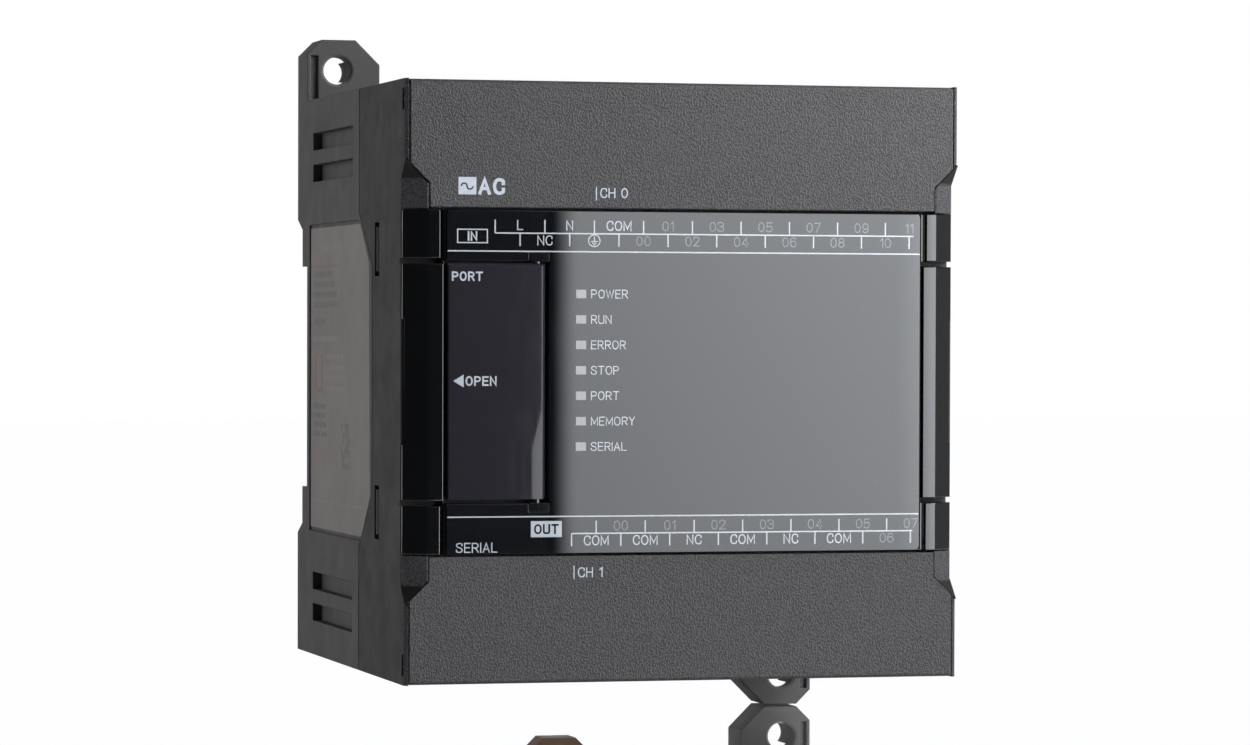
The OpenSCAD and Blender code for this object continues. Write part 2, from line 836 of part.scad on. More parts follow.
module serial_insulator() {
    color([0.05, 0.05, 0.06])
    difference() {
        union() {
            plan_outline(d_outline(16, 7.4, 1.4), [-serial_face + 0.4, -38.9]);
            block([serial_x - 9.5, serial_x + 9.5], [serial_d - 5.8, serial_d + 5.8], [-39, -37.8]);
        }
        for (i = [-2:2])
            rod_z(serial_x + i * 2.77, serial_d - 1.42, [-serial_face - 1, -41], 0.6);
        for (i = [-1.5:1.5])
            rod_z(serial_x + i * 2.77, serial_d + 1.42, [-serial_face - 1, -41], 0.6);
    }
}

module serial_jack_screws() {
    color([0.74, 0.74, 0.76])
    for (side = [-1, 1])
        difference() {
            union() {
                translate([serial_x + side * jack_dx, serial_d - body_d, -serial_face + 0.4])
                    cylinder(r = 2.7, h = serial_face - 39.8 - 0.4, $fn = 6);
                rod_z(serial_x + side * jack_dx, serial_d, [-40.2, -37.6], 1.45);
            }
            rod_z(serial_x + side * jack_dx, serial_d, [-serial_face - 1, -40.8], 1.25);
        }
}

// ---------- boards ----------

module cpu_board() {
    color([0.05, 0.30, 0.18])
    difference() {
        block([-39.8, 39.8], [cpu_d, cpu_d + board_t], [-25.2, 25.2]);
        both_sides() both_ends()
            rod(-cpu_post_x, [cpu_d - 1, cpu_d + 3], cpu_post_z, 1.2);
        // clearance for the snap tongues
        both_sides() both_ends()
            block([-42, -38.9], [cpu_d - 1, cpu_d + 3], [16, 24]);
    }
}

module io_board() {
    color([0.05, 0.30, 0.18])
    difference() {
        block([-39, 39], [io_d, io_d + board_t], [-42, 42]);
        both_sides() both_ends()
            rod(-post_x, [io_d - 1, io_d + 3], post_z, 1.6);
    }
}

module power_board() {
    color([0.42, 0.32, 0.14])
    difference() {
        block([-39.8, 39.8], [power_d, power_d + board_t], [-42, 42]);
        both_sides() both_ends()
            rod(-post_x, [power_d - 1, power_d + 3], post_z, 3.3);
    }
}

module processor_chip() {
    back = cpu_d + board_t;
    color([0.08, 0.08, 0.08]) block([-6, 8], [back + 0.2, back + 1.8], [-7, 7]);
    color([0.75, 0.75, 0.75])
    for (i = [-5:5]) {
        block([-7.2, -5.5], [back, back + 0.4], [i * 1.2 - 0.2, i * 1.2 + 0.2]);
        block([7.5, 9.2], [back, back + 0.4], [i * 1.2 - 0.2, i * 1.2 + 0.2]);
        block([1 + i * 1.2 - 0.2, 1 + i * 1.2 + 0.2], [back, back + 0.4], [6.5, 8.2]);
        block([1 + i * 1.2 - 0.2, 1 + i * 1.2 + 0.2], [back, back + 0.4], [-8.2, -6.5]);
    }
}

module memory_chip() {
    color([0.08, 0.08, 0.08])
        block([-22, -12], [cpu_d + board_t, cpu_d + board_t + 1.3], [-4, 3]);
}

module clock_crystal() {
    color([0.72, 0.72, 0.74]) {
        block([-3, 5], [cpu_d + board_t, cpu_d + board_t + 3.2], [12, 15.4]);
        rod(-3, [cpu_d + board_t, cpu_d + board_t + 3.2], 13.7, 1.7);
        rod(5, [cpu_d + board_t, cpu_d + board_t + 3.2], 13.7, 1.7);
    }
}

module memory_capacitor() {
    color([0.10, 0.12, 0.16])
        rod(-26, [cpu_d + board_t, cpu_d + board_t + 5.5], 14, 5.5);
}

module board_connector() {
    color([0.06, 0.06, 0.06])
        block([14, 34], [cpu_d + board_t, io_d], [-2.6, 2.6]);
}

module power_link() {
    color([0.90, 0.90, 0.86])
        block([-12, 12], [io_d + board_t, power_d], [34.5, 39.5]);
}

module input_isolators() {
    color([0.90, 0.90, 0.88])
    for (i = [0:11])
        block([-30 + i * 5.2, -25.6 + i * 5.2], [io_d - 2.2, io_d], [17, 23.6]);
}

module output_relays() {
    color([0.08, 0.10, 0.14])
    for (i = [0:7])
        block([-17 + i * 6, -12 + i * 6], [io_d + board_t, io_d + board_t + 12.5], [-40, -20]);
}

module transformer_core() {
    color([0.16, 0.16, 0.17])
    difference() {
        block([-14, 12], [43, power_d - 1], [-9, 15]);
        block([-9, 7], [42, power_d], [-5, 11]);
    }
}

module transformer_winding() {
    color([0.85, 0.72, 0.20]) {
        difference() {
            block([-8.9, 6.9], [41, power_d], [-4.9, 10.9]);
            block([-9.5, 7.5], [46, 60], [2, 4]);
        }
    }
}

module bulk_capacitor() {
    color([0.10, 0.12, 0.14])
    rod(27, [38, power_d], 12, 9);
}

module output_capacitors() {
    color([0.10, 0.12, 0.14])
    for (z = [-8, 8, 22])
        rod(-27, [46, power_d], z, 5);
}

module line_choke() {
    color([0.60, 0.35, 0.15])
    difference() {
        rod(28, [52, power_d], -12, 8.5);
        rod(28, [50, 62], -12, 3.5);
    }
}

module line_fuse() {
    color([0.80, 0.80, 0.76]) {
        rod_x([-16, 4], 61.5, -30, 2.6);
        for (x = [-16, 0])
            block([x, x + 4], [61.5, power_d], [-32.6, -27.4]);
    }
}

module surge_absorber() {
    color([0.12, 0.25, 0.55]) {
        rod_x([10, 14], 59, -30, 6);
        block([10.5, 13.5], [62, power_d], [-33, -27]);
    }
}

module bridge_rectifier() {
    color([0.08, 0.08, 0.08])
    block([-30, -14], [56, power_d], [-22, -18.5]);
}

module heat_sink() {
    color([0.70, 0.71, 0.72]) {
        block([-13, 13], [50, power_d], [28, 30]);
        for (x = [-12, -6, 0, 6])
            block([x, x + 1], [50, power_d - 2], [24, 28.5]);
    }
}

module switching_transistor() {
    color([0.08, 0.08, 0.08]) {
        block([-5, 5], [54, power_d - 4], [30, 34]);
        for (x = [-2.5, 0, 2.5])
            block([x - 0.4, x + 0.4], [power_d - 5, power_d], [31.6, 32.4]);
    }
}

module insulating_sheet() {
    floor_d = groove_floor - rail_back_wall;
    color([0.90, 0.88, 0.80])
        block([-40, 40], [floor_d - 0.4, floor_d], [-half_rail - 1.5, half_rail + 1.5]);
}

module board_screws() {
    color([0.75, 0.75, 0.76])
    both_sides() both_ends() {
        rod(-post_x, [io_d - 1.8, io_d], post_z, 2.3);
        rod(-post_x, [io_d - 0.5, io_d + 9], post_z, 1.2);
    }
}

module cpu_board_screws() {
    back = cpu_d + board_t;
    color([0.75, 0.75, 0.76])
    both_sides() both_ends() {
        rod(-cpu_post_x, [back, back + 1.6], cpu_post_z, 2);
        rod(-cpu_post_x, [cpu_d - 5, back + 0.5], cpu_post_z, 0.85);
    }
}

rear_case();
front_case();
front_bezel();
plate_rim();
display_plate();
peripheral_door();
input_terminal_cover();
output_terminal_cover();
rail_lock();
rating_label();
input_terminal_block();
output_terminal_block();
input_contacts();
output_contacts();
input_clamp_plates();
output_clamp_plates();
input_terminal_screws();
output_terminal_screws();
status_light_guides();
signal_light_guides();
status_lamps();
signal_lamps();
usb_socket_shell();
usb_socket_tongue();
adjuster_bodies();
adjuster_knob_0();
adjuster_knob_1();
serial_shell();
serial_insulator();
serial_jack_screws();
cpu_board();
io_board();
power_board();
processor_chip();
memory_chip();
clock_crystal();
memory_capacitor();
board_connector();
power_link();
input_isolators();
output_relays();
transformer_core();
transformer_winding();
bulk_capacitor();
output_capacitors();
line_choke();
line_fuse();
surge_absorber();
bridge_rectifier();
heat_sink();
switching_transistor();
insulating_sheet();
board_screws();
cpu_board_screws();
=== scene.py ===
"""Looks of a compact rail-mounted programmable controller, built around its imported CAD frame."""

import json
import math
import random

import bmesh
import bpy
from mathutils import Matrix, Vector


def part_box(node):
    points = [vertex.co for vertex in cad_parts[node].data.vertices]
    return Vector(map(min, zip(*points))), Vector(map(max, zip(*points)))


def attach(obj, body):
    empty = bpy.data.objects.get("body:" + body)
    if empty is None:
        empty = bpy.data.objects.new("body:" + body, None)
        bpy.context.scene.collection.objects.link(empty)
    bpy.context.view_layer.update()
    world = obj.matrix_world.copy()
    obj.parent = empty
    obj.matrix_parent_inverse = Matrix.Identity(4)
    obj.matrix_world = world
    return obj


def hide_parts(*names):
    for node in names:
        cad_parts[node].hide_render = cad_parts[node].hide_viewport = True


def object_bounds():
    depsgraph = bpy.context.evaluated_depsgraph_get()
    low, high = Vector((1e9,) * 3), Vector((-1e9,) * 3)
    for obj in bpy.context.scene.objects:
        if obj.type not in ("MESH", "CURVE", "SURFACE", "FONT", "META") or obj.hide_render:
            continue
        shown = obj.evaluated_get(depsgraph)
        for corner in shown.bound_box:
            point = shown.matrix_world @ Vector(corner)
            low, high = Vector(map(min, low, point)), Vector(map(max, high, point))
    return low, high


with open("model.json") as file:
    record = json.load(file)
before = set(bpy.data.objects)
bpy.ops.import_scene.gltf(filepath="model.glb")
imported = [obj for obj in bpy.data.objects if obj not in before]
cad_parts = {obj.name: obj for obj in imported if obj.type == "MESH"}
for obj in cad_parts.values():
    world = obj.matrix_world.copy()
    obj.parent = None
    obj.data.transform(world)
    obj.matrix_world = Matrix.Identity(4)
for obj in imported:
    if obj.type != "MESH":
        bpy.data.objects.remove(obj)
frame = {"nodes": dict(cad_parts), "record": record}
CAD_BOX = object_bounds()
MM = 0.001
random.seed(7)

NODES = frame["nodes"]
RECORD = frame["record"]
SLOT_OF = {part["node"]: part["material_slot"] for part in RECORD["subparts"]}
BODY_OF = {}
for body_name, body_nodes in RECORD["behaviour"]["bodies"].items():
    for node_name in body_nodes:
        BODY_OF[node_name] = body_name

FRONT_Y = CAD_BOX[0][1]
HALF_W = CAD_BOX[1][0]
DECK_Y = FRONT_Y + 3.3 * MM
DOOR_LOW, DOOR_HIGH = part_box("peripheral_door")

SCENE = bpy.context.scene
SCENE.view_settings.view_transform = "Standard"


# ---------- mesh helpers ----------

SHARP_ANGLE = math.radians(32)
FLAT_ANGLE = math.radians(0.6)
WELD = 0.002 * MM


def new_object(name, mesh):
    """A new object that holds the mesh."""
    piece = bpy.data.objects.new(name, mesh)
    SCENE.collection.objects.link(piece)
    return piece


def apply_modifiers(piece):
    """Turns a piece's modifiers into plain mesh."""
    graph = bpy.context.evaluated_depsgraph_get()
    mesh = bpy.data.meshes.new_from_object(piece.evaluated_get(graph))
    piece.modifiers.clear()
    piece.data = mesh


def soften(piece, width):
    """Rounds the piece's sharp edges a little."""
    bevel = piece.modifiers.new("edge", "BEVEL")
    bevel.width = width
    bevel.segments = 2
    bevel.limit_method = "ANGLE"
    bevel.angle_limit = SHARP_ANGLE
    bevel.use_clamp_overlap = True
    bevel.harden_normals = True
    piece.data.shade_smooth()
    piece.data.set_sharp_from_angle(angle=SHARP_ANGLE)
    apply_modifiers(piece)


def clean_copy(node, name):
    """A copy of a CAD node with its flat faces joined up, as an object of its own."""
    shape = bmesh.new()
    shape.from_mesh(NODES[node].data)
    bmesh.ops.remove_doubles(shape, verts=shape.verts, dist=WELD)
    bmesh.ops.dissolve_limit(shape, angle_limit=FLAT_ANGLE, verts=shape.verts, edges=shape.edges)
    mesh = bpy.data.meshes.new(name)
    shape.to_mesh(mesh)
    shape.free()
    mesh.materials.clear()
    return new_object(name, mesh)


def round_edges(piece, chosen, width):
    """Rounds the edges for which chosen(start, end) holds."""
    shape = bmesh.new()
    shape.from_mesh(piece.data)
    edges = [e for e in shape.edges if chosen(e.verts[0].co, e.verts[1].co)]
    bmesh.ops.bevel(shape, geom=edges, offset=width, segments=4, profile=0.5, affect="EDGES",
                    clamp_overlap=True)
    shape.to_mesh(piece.data)
    shape.free()


def level_faces(piece):
    """Keeps the large faces flat to the light, so only the rounded edges bend it."""
    normals = piece.modifiers.new("level", "WEIGHTED_NORMAL")
    normals.weight = 100
    normals.keep_sharp = True
    apply_modifiers(piece)


def finished(node, material, edge, rounded=None):
    """Stands a piece with eased edges in place of a CAD node; rounded says which edges are rounder."""
    piece = clean_copy(node, node + "_shell")
    if rounded:
        round_edges(piece, *rounded)
    soften(piece, edge)
    if rounded:
        level_faces(piece)
    piece.data.materials.append(material)
    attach(piece, BODY_OF[node])
    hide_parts(node)


def add_box(shape, low, high):
    """Adds a closed box to a bmesh."""
    size = [h - l for l, h in zip(low, high)]
    middle = [(h + l) / 2 for l, h in zip(low, high)]
    place = Matrix.Translation(middle) @ Matrix.Diagonal((*size, 1))
    bmesh.ops.create_cube(shape, size=1, matrix=place)


def piece_from(shape, name, body, material):
    """Makes a bmesh into a finished piece on a body."""
    mesh = bpy.data.meshes.new(name)
    shape.to_mesh(mesh)
    shape.free()
    piece = new_object(name, mesh)
    piece.data.materials.append(material)
    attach(piece, body)


# ---------- materials ----------

class Nodes:
    """A short way to write a node material: everything is fed from object coordinates, in metres."""

    def __init__(self, name, colour, roughness):
        self.material = bpy.data.materials.new(name)
        self.material.use_nodes = True
        self.tree = self.material.node_tree
        self.shader = self.tree.nodes["Principled BSDF"]
        self.shader.inputs["Base Color"].default_value = (*colour, 1)
        self.shader.inputs["Roughness"].default_value = roughness
        coordinates = self.tree.nodes.new("ShaderNodeTexCoord")
        self.place = coordinates.outputs["Object"]
        self.facing = coordinates.outputs["Normal"]
        self.normal = None

    def link(self, source, target):
        self.tree.links.new(source, target)

    def noise(self, scale, detail=3.0, rough=0.5, stretch=None):
        node = self.tree.nodes.new("ShaderNodeTexNoise")
        node.inputs["Scale"].default_value = scale
        node.inputs["Detail"].default_value = detail
        node.inputs["Roughness"].default_value = rough
        self.link(self.stretched(stretch), node.inputs["Vector"])
        return node.outputs["Fac"]

    def lanes(self, scale, randomness):
        """Distance to the walls between irregular cells."""
        node = self.tree.nodes.new("ShaderNodeTexVoronoi")
        node.feature = "DISTANCE_TO_EDGE"
        node.inputs["Scale"].default_value = scale
        node.inputs["Randomness"].default_value = randomness
        self.link(self.place, node.inputs["Vector"])
        return node.outputs["Distance"]

    def stretched(self, stretch):
        if stretch is None:
            return self.place
        node = self.tree.nodes.new("ShaderNodeVectorMath")
        node.operation = "MULTIPLY"
        node.inputs[1].default_value = stretch
        self.link(self.place, node.inputs[0])
        return node.outputs["Vector"]

    def along(self, direction, source=None):
        """How far a point lies along a direction, or how far the given vector points along it."""
        node = self.tree.nodes.new("ShaderNodeVectorMath")
        node.operation = "DOT_PRODUCT"
        node.inputs[1].default_value = direction
        self.link(source or self.place, node.inputs[0])
        return node.outputs["Value"]

    def maths(self, operation, first, second):
        node = self.tree.nodes.new("ShaderNodeMath")
        node.operation = operation
        for slot, value in enumerate((first, second)):
            if isinstance(value, (int, float)):
                node.inputs[slot].default_value = value
            else:
                self.link(value, node.inputs[slot])
        return node.outputs["Value"]

    def remap(self, value, low, high, to_low, to_high):
        node = self.tree.nodes.new("ShaderNodeMapRange")
        for key, number in (("From Min", low), ("From Max", high), ("To Min", to_low), ("To Max", to_high)):
            node.inputs[key].default_value = number
        self.link(value, node.inputs["Value"])
        return node.outputs["Result"]

    def mixed(self, factor, first, second):
        """A colour that runs between two others, each a colour or a socket."""
        node = self.tree.nodes.new("ShaderNodeMix")
        node.data_type = "RGBA"
        for key, value in (("A", first), ("B", second)):
            socket = [s for s in node.inputs if s.name == key and s.type == "RGBA"][0]
            if isinstance(value, tuple):
                socket.default_value = (*value, 1)
            else:
                self.link(value, socket)
        self.link(factor, node.inputs["Factor"])
        return [s for s in node.outputs if s.type == "RGBA"][0]

    def tint(self, factor, first, second):
        """Base colour that runs between two colours."""
        result = self.mixed(factor, first, second)
        self.link(result, self.shader.inputs["Base Color"])
        return result

    def rough(self, value):
        self.link(value, self.shader.inputs["Roughness"])

    def soft_edges(self, radius):
        """Shades the edges as if they were rounded; called before any bump."""
        node = self.tree.nodes.new("ShaderNodeBevel")
        node.samples = 6
        node.inputs["Radius"].default_value = radius
        self.normal = node.outputs["Normal"]

    def bump(self, height, distance):
        """Raises the surface by up to a distance, on top of what was raised before."""
        node = self.tree.nodes.new("ShaderNodeBump")
        node.inputs["Strength"].default_value = 1
        node.inputs["Distance"].default_value = distance
        self.link(height, node.inputs["Height"])
        if self.normal is not None:
            self.link(self.normal, node.inputs["Normal"])
        self.normal = node.outputs["Normal"]
        self.link(self.normal, self.shader.inputs["Normal"])


def scaled(colour, factor):
    """A colour made lighter or darker."""
    return tuple(min(1.0, c * factor) for c in colour)


def moulded(name, colour, roughness=0.5, grain=0.22 * MM, depth=0.012 * MM, spread=0.12, edge=0, front=1):
    """Matte moulded plastic: a fine spark-eroded grain, and slow changes of shade and sheen.
    Edges look rounded by edge, and faces towards the front get painted shade: their colour is scaled by
    front."""
    m = Nodes(name, colour, roughness)
    m.shader.inputs["Specular IOR Level"].default_value = 0.3
    if edge:
        m.soft_edges(edge)
    m.bump(m.noise(1 / grain, detail=4, rough=0.6), depth)
    cloud = m.noise(70, detail=5)
    shade = m.tint(m.remap(cloud, 0.3, 0.7, 0, 1), scaled(colour, 1 - spread), scaled(colour, 1 + spread))
    # painted shade: faces that look towards the front are darkened by the front factor
    if front != 1:
        front_facing_shade = m.remap(m.along((0, -1, 0), m.facing), 0.8, 0.95, 0, 1)
        m.tint(front_facing_shade, shade, scaled(colour, front))
    m.rough(m.remap(m.noise(220, detail=4), 0.3, 0.7, roughness - 0.04, roughness + 0.06))
    return m.material


def grained(name, colour, roughness=0.48):
    """Coarse leather-like grain of the covers: pebbles with slightly shinier tops, painted highlight on the
    tops and painted shade in the hollows.
    """
    m = Nodes(name, colour, roughness)
    m.shader.inputs["Specular IOR Level"].default_value = 0.36
    pebbles = m.noise(1 / (0.27 * MM), detail=3, rough=0.6, stretch=(1, 1, 0.8))
    tops = m.remap(pebbles, 0.4, 0.62, 0, 1)
    m.bump(tops, 0.085 * MM)
    m.bump(m.noise(1 / (0.14 * MM), detail=2), 0.012 * MM)
    # painted highlight on the pebble tops and painted shade in the hollows between them
    m.tint(tops, scaled(colour, 0.72), scaled(colour, 1.25))
    m.rough(m.remap(tops, 0, 1, roughness + 0.1, roughness - 0.08))
    return m.material


NOTCH_LOW = 30.3 * MM
NOTCH_HIGH = 33.1 * MM
SPLIT_Z = 18 * MM
SPLIT_HALF = 0.44 * MM
SPLIT_DEPTH = 1.75 * MM


def moulded_front(name, colour, grain_colour):
    """Plastic of the front half: smooth on the sides, grained like the covers in front of the deck,
    smooth and darkened by painted shade where its bevels run out beside the finger notches, and painted shade
    in the splits."""
    m = Nodes(name, colour, 0.5)
    m.shader.inputs["Specular IOR Level"].default_value = 0.3
    height = m.maths("ABSOLUTE", m.along((0, 0, 1)), 0)
    depth = m.along((0, 1, 0))
    in_front = m.remap(depth, DECK_Y - 0.15 * MM, DECK_Y, 1, 0)
    low = m.remap(height, NOTCH_LOW - 0.1 * MM, NOTCH_LOW + 0.1 * MM, 1, 0)
    high = m.remap(height, NOTCH_HIGH - 0.1 * MM, NOTCH_HIGH + 0.1 * MM, 0, 1)
    off_notch = m.maths("MAXIMUM", low, high)
    mask = m.maths("MULTIPLY", in_front, off_notch)
    run_out_shade = m.maths("MULTIPLY", in_front, m.maths("SUBTRACT", 1, off_notch))
    near = m.remap(depth, DECK_Y + SPLIT_DEPTH - 0.05 * MM, DECK_Y + SPLIT_DEPTH + 0.05 * MM, 1, 0)
    off_split = m.maths("ABSOLUTE", m.maths("SUBTRACT", height, SPLIT_Z), 0)
    in_split = m.remap(off_split, SPLIT_HALF - 0.02 * MM, SPLIT_HALF + 0.02 * MM, 1, 0)
    gap = m.maths("MULTIPLY", near, in_split)
    # painted shade: the bevel run-outs beside the notches and the splits between column segments
    dark = m.maths("MAXIMUM", run_out_shade, gap)
    pebbles = m.remap(m.noise(1 / (0.3 * MM), detail=3, rough=0.6), 0.4, 0.62, 0, 1)
    m.bump(m.maths("MULTIPLY", mask, pebbles), 0.1 * MM)
    m.bump(m.noise(1 / (0.22 * MM), detail=4, rough=0.6), 0.012 * MM)
    cloud = m.remap(m.noise(70, detail=5), 0.3, 0.7, 0, 1)
    plain = m.tint(cloud, scaled(colour, 0.88), scaled(colour, 1.12))
    # painted highlight on the pebble tops and painted shade in the hollows of the grain in front of the deck
    pebble_light_and_shade = m.mixed(pebbles, scaled(grain_colour, 0.5), scaled(grain_colour, 1.5))
    body = m.mixed(mask, plain, pebble_light_and_shade)
    # painted shade: where dark is set, the colour falls to a quarter
    m.link(m.mixed(dark, body, scaled(colour, 0.25)), m.shader.inputs["Base Color"])
    m.rough(m.remap(m.noise(220, detail=4), 0.3, 0.7, 0.46, 0.56))
    return m.material


def crowned(name, colour, roughness, edge):
    """Satin gloss of the door, whose face falls away a little towards its hinge."""
    m = Nodes(name, colour, roughness)
    m.shader.inputs["Coat Weight"].default_value = 0.3
    m.shader.inputs["Coat Roughness"].default_value = 0.05
    reach = m.remap(m.along((0, 0, 1)), -10 * MM, -4 * MM, 1.5 * MM, 0)
    run = m.remap(m.maths("ADD", m.along((1, 0, 0)), reach), edge - 0.8 * MM, edge + 1.4 * MM, 0, 1)
    m.bump(m.maths("SUBTRACT", 1, m.maths("MULTIPLY", run, run)), 0.06 * MM)
    m.bump(m.noise(60, detail=1), 0.01 * MM)
    marks = m.noise(900, detail=5, rough=0.7, stretch=(1, 1, 0.15))
    m.rough(m.remap(marks, 0.45, 0.8, roughness, roughness + 0.05))
    return m.material


def polished(name, colour, roughness=0.05, coat=0.6, dust=0.0, haze=0.09):
    """Polished plastic: a clear gloss with faint ripples of the moulding and hair-fine marks."""
    m = Nodes(name, colour, roughness)
    m.shader.inputs["Coat Weight"].default_value = coat
    m.shader.inputs["Coat Roughness"].default_value = 0.01
    marks = m.noise(900, detail=6, rough=0.7, stretch=(1, 1, 0.15))
    m.rough(m.remap(marks, 0.45, 0.8, roughness, roughness + haze))
    m.bump(m.noise(55, detail=1), 0.012 * MM)
    specks = m.remap(m.noise(5200, detail=1), 0.78, 0.82, 0, dust)
    m.tint(specks, colour, (0.4, 0.4, 0.4))
    return m.material


def metal(name, colour, roughness=0.25, brush=(1, 1, 1)):
    """Plated or plain metal with drawn marks and slow tarnish."""
    m = Nodes(name, colour, roughness)
    m.shader.inputs["Metallic"].default_value = 1.0
    lines = m.noise(2600, detail=4, stretch=brush)
    m.bump(lines, 0.004 * MM)
    m.rough(m.remap(lines, 0.3, 0.7, roughness - 0.07, roughness + 0.12))
    m.tint(m.remap(m.noise(260, detail=4), 0.35, 0.7, 0, 1), colour, scaled(colour, 0.8))
    return m.material


def printed(name, colour):
    """Screen-printed ink: slightly uneven, with a soft sheen."""
    m = Nodes(name, colour, 0.5)
    m.tint(m.remap(m.noise(3000, detail=3), 0.3, 0.7, 0, 1), scaled(colour, 0.9), scaled(colour, 1.05))
    m.bump(m.noise(9000, detail=2), 0.002 * MM)
    return m.material


def board(name, colour, copper):
    """Circuit board: resist over tracks that show as a fine raised maze."""
    m = Nodes(name, colour, 0.3)
    tracks = m.remap(m.lanes(420, 0.35), 0.05, 0.09, 1, 0)
    m.tint(tracks, colour, copper)
    m.bump(tracks, 0.03 * MM)
    m.rough(m.remap(m.noise(600), 0.3, 0.7, 0.24, 0.38))
    return m.material


MATERIALS = {
    "case_front": moulded_front("case_front_plastic", (0.026, 0.024, 0.0237), (0.043, 0.043, 0.046)),
    # the rear case carries painted shade: its faces towards the front are darkened to 0.45 of its colour
    "case_rear": moulded("case_rear_plastic", (0.112, 0.104, 0.103), 0.52, edge=0.3 * MM, front=0.45),
    "cover": grained("cover_grain", (0.043, 0.042, 0.044)),
    "gloss_black": polished("column_gloss", (0.0015, 0.002, 0.0026), 0.04, haze=0.03),
    "display": polished("display_gloss", (0.004, 0.0045, 0.006), 0.01, dust=0.25, haze=0.012),
    "door": crowned("door_gloss", (0.017, 0.0155, 0.021), 0.05, DOOR_HIGH[0]),
    "lock": moulded("lock_acetal", (0.36, 0.16, 0.045), 0.4),
    "label": moulded("label_film", (0.315, 0.292, 0.278), 0.45, grain=0.5 * MM, depth=0.004 * MM,
                     spread=0.05),
    "terminal_black": moulded("terminal_plastic", (0.018, 0.018, 0.019), 0.42),
    "tinned": metal("tinned_plate", (0.66, 0.64, 0.6), 0.3, brush=(0.2, 1, 1)),
    "screw": metal("zinc_screw", (0.62, 0.6, 0.55), 0.28),
    "guide": polished("guide_milky", (0.5, 0.51, 0.54), 0.15),
    "lamp": polished("lamp_lens", (0.7, 0.72, 0.5), 0.2),
    "metal_shell": metal("nickel_shell", (0.66, 0.65, 0.63), 0.2, brush=(1, 0.2, 1)),
    "white_plastic": moulded("white_plastic", (0.7, 0.68, 0.62), 0.4, spread=0.04),
    "blue_body": moulded("blue_plastic", (0.03, 0.09, 0.33), 0.35),
    "board_green": board("green_board", (0.01, 0.085, 0.04), (0.03, 0.19, 0.08)),
    "board_brown": board("brown_board", (0.19, 0.11, 0.035), (0.3, 0.2, 0.07)),
    "chip": moulded("chip_resin", (0.014, 0.014, 0.016), 0.45),
    "relay": moulded("relay_plastic", (0.018, 0.026, 0.045), 0.35),
    "ferrite": moulded("ferrite", (0.045, 0.045, 0.047), 0.6),
    "winding": moulded("winding_tape", (0.62, 0.45, 0.05), 0.35),
    "capacitor": polished("sleeve", (0.015, 0.02, 0.03), 0.18),
    "copper": polished("enamelled_copper", (0.36, 0.13, 0.035), 0.2),
    "heat_alu": metal("heat_sink_aluminium", (0.6, 0.61, 0.62), 0.35, brush=(1, 0.15, 1)),
    "paper_sheet": moulded("insulating_sheet", (0.72, 0.69, 0.58), 0.6, spread=0.05),
}
INK = printed("ink_light", (0.44, 0.48, 0.54))
INK_PLATE = polished("ink_plate", (0.42, 0.45, 0.49), 0.01, haze=0.02)
INK_DIM = polished("ink_dim", (0.13, 0.14, 0.152), 0.01, haze=0.02)
INK_WINDOW = polished("window_inlay", (0.27, 0.275, 0.28), 0.01, haze=0.02)
LABEL_PALE = printed("label_pale", (0.375, 0.355, 0.33))
LABEL_DARK = printed("label_dark", (0.24, 0.225, 0.215))
LABEL_WARM = printed("label_warm", (0.33, 0.235, 0.215))

for node_name, cad in NODES.items():
    cad.data.materials.clear()
    cad.data.materials.append(MATERIALS[SLOT_OF[node_name]])


# ---------- shells with eased edges ----------

SHELL_EDGE = {
    "rear_case": 0.3 * MM,
    "front_case": 0.22 * MM,
    "front_bezel": 0.16 * MM,
    "display_plate": 0.12 * MM,
    "peripheral_door": 0.14 * MM,
    "input_terminal_cover": 0.3 * MM,
    "output_terminal_cover": 0.3 * MM,
    "rail_lock": 0.25 * MM,
    "input_terminal_block": 0.12 * MM,
    "output_terminal_block": 0.12 * MM,
    "input_terminal_screws": 0.12 * MM,
    "output_terminal_screws": 0.12 * MM,
    "input_clamp_plates": 0.1 * MM,
    "output_clamp_plates": 0.1 * MM,
    "usb_socket_shell": 0.1 * MM,
    "adjuster_knob_0": 0.12 * MM,
    "adjuster_knob_1": 0.12 * MM,
    "serial_shell": 0.1 * MM,
    "serial_jack_screws": 0.15 * MM,
}
COLUMN_EDGE = 39.5 * MM
COLUMN_INNER = 36.9 * MM
BEVEL_SLOPE = 2.9 / 3.4


def on_column(v):
    """Does a corner lie on the flat face or on the bevel of a column?"""
    depth = max(0, abs(v.x) - COLUMN_EDGE) * BEVEL_SLOPE
    return abs(v.x) > COLUMN_INNER and abs(v.y - FRONT_Y - depth) < 0.08 * MM


def column_edges(a, b):
    """The outline of each column segment, without the crisp line where its bevel starts."""
    crisp = abs(abs(a.x) - COLUMN_EDGE) + abs(abs(b.x) - COLUMN_EDGE) < 0.1 * MM
    return on_column(a) and on_column(b) and not crisp


def side_corner_edges(a, b):
    """Upright edges of the front case where its sides meet the deck beside the columns."""
    at_side = min(abs(a.x), abs(b.x)) > HALF_W - 0.1 * MM
    at_deck = abs(a.y - DECK_Y) < 0.2 * MM and abs(b.y - DECK_Y) < 0.2 * MM
    return at_side and at_deck


ROUNDED = {
    "front_bezel": (column_edges, 0.45 * MM),
    "front_case": (side_corner_edges, 0.45 * MM),
}
for node_name, edge in SHELL_EDGE.items():
    finished(node_name, MATERIALS[SLOT_OF[node_name]], edge, rounded=ROUNDED.get(node_name))


# ---------- print ----------

PLATE_LOW, PLATE_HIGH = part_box("display_plate")
PLATE_Y = PLATE_LOW[1]
DOOR_Y = DOOR_LOW[1]
COVER_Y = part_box("input_terminal_cover")[0][1]
INK_T = 0.02 * MM
INK_STEP = 0.001 * MM
INK_LAYERS = 16


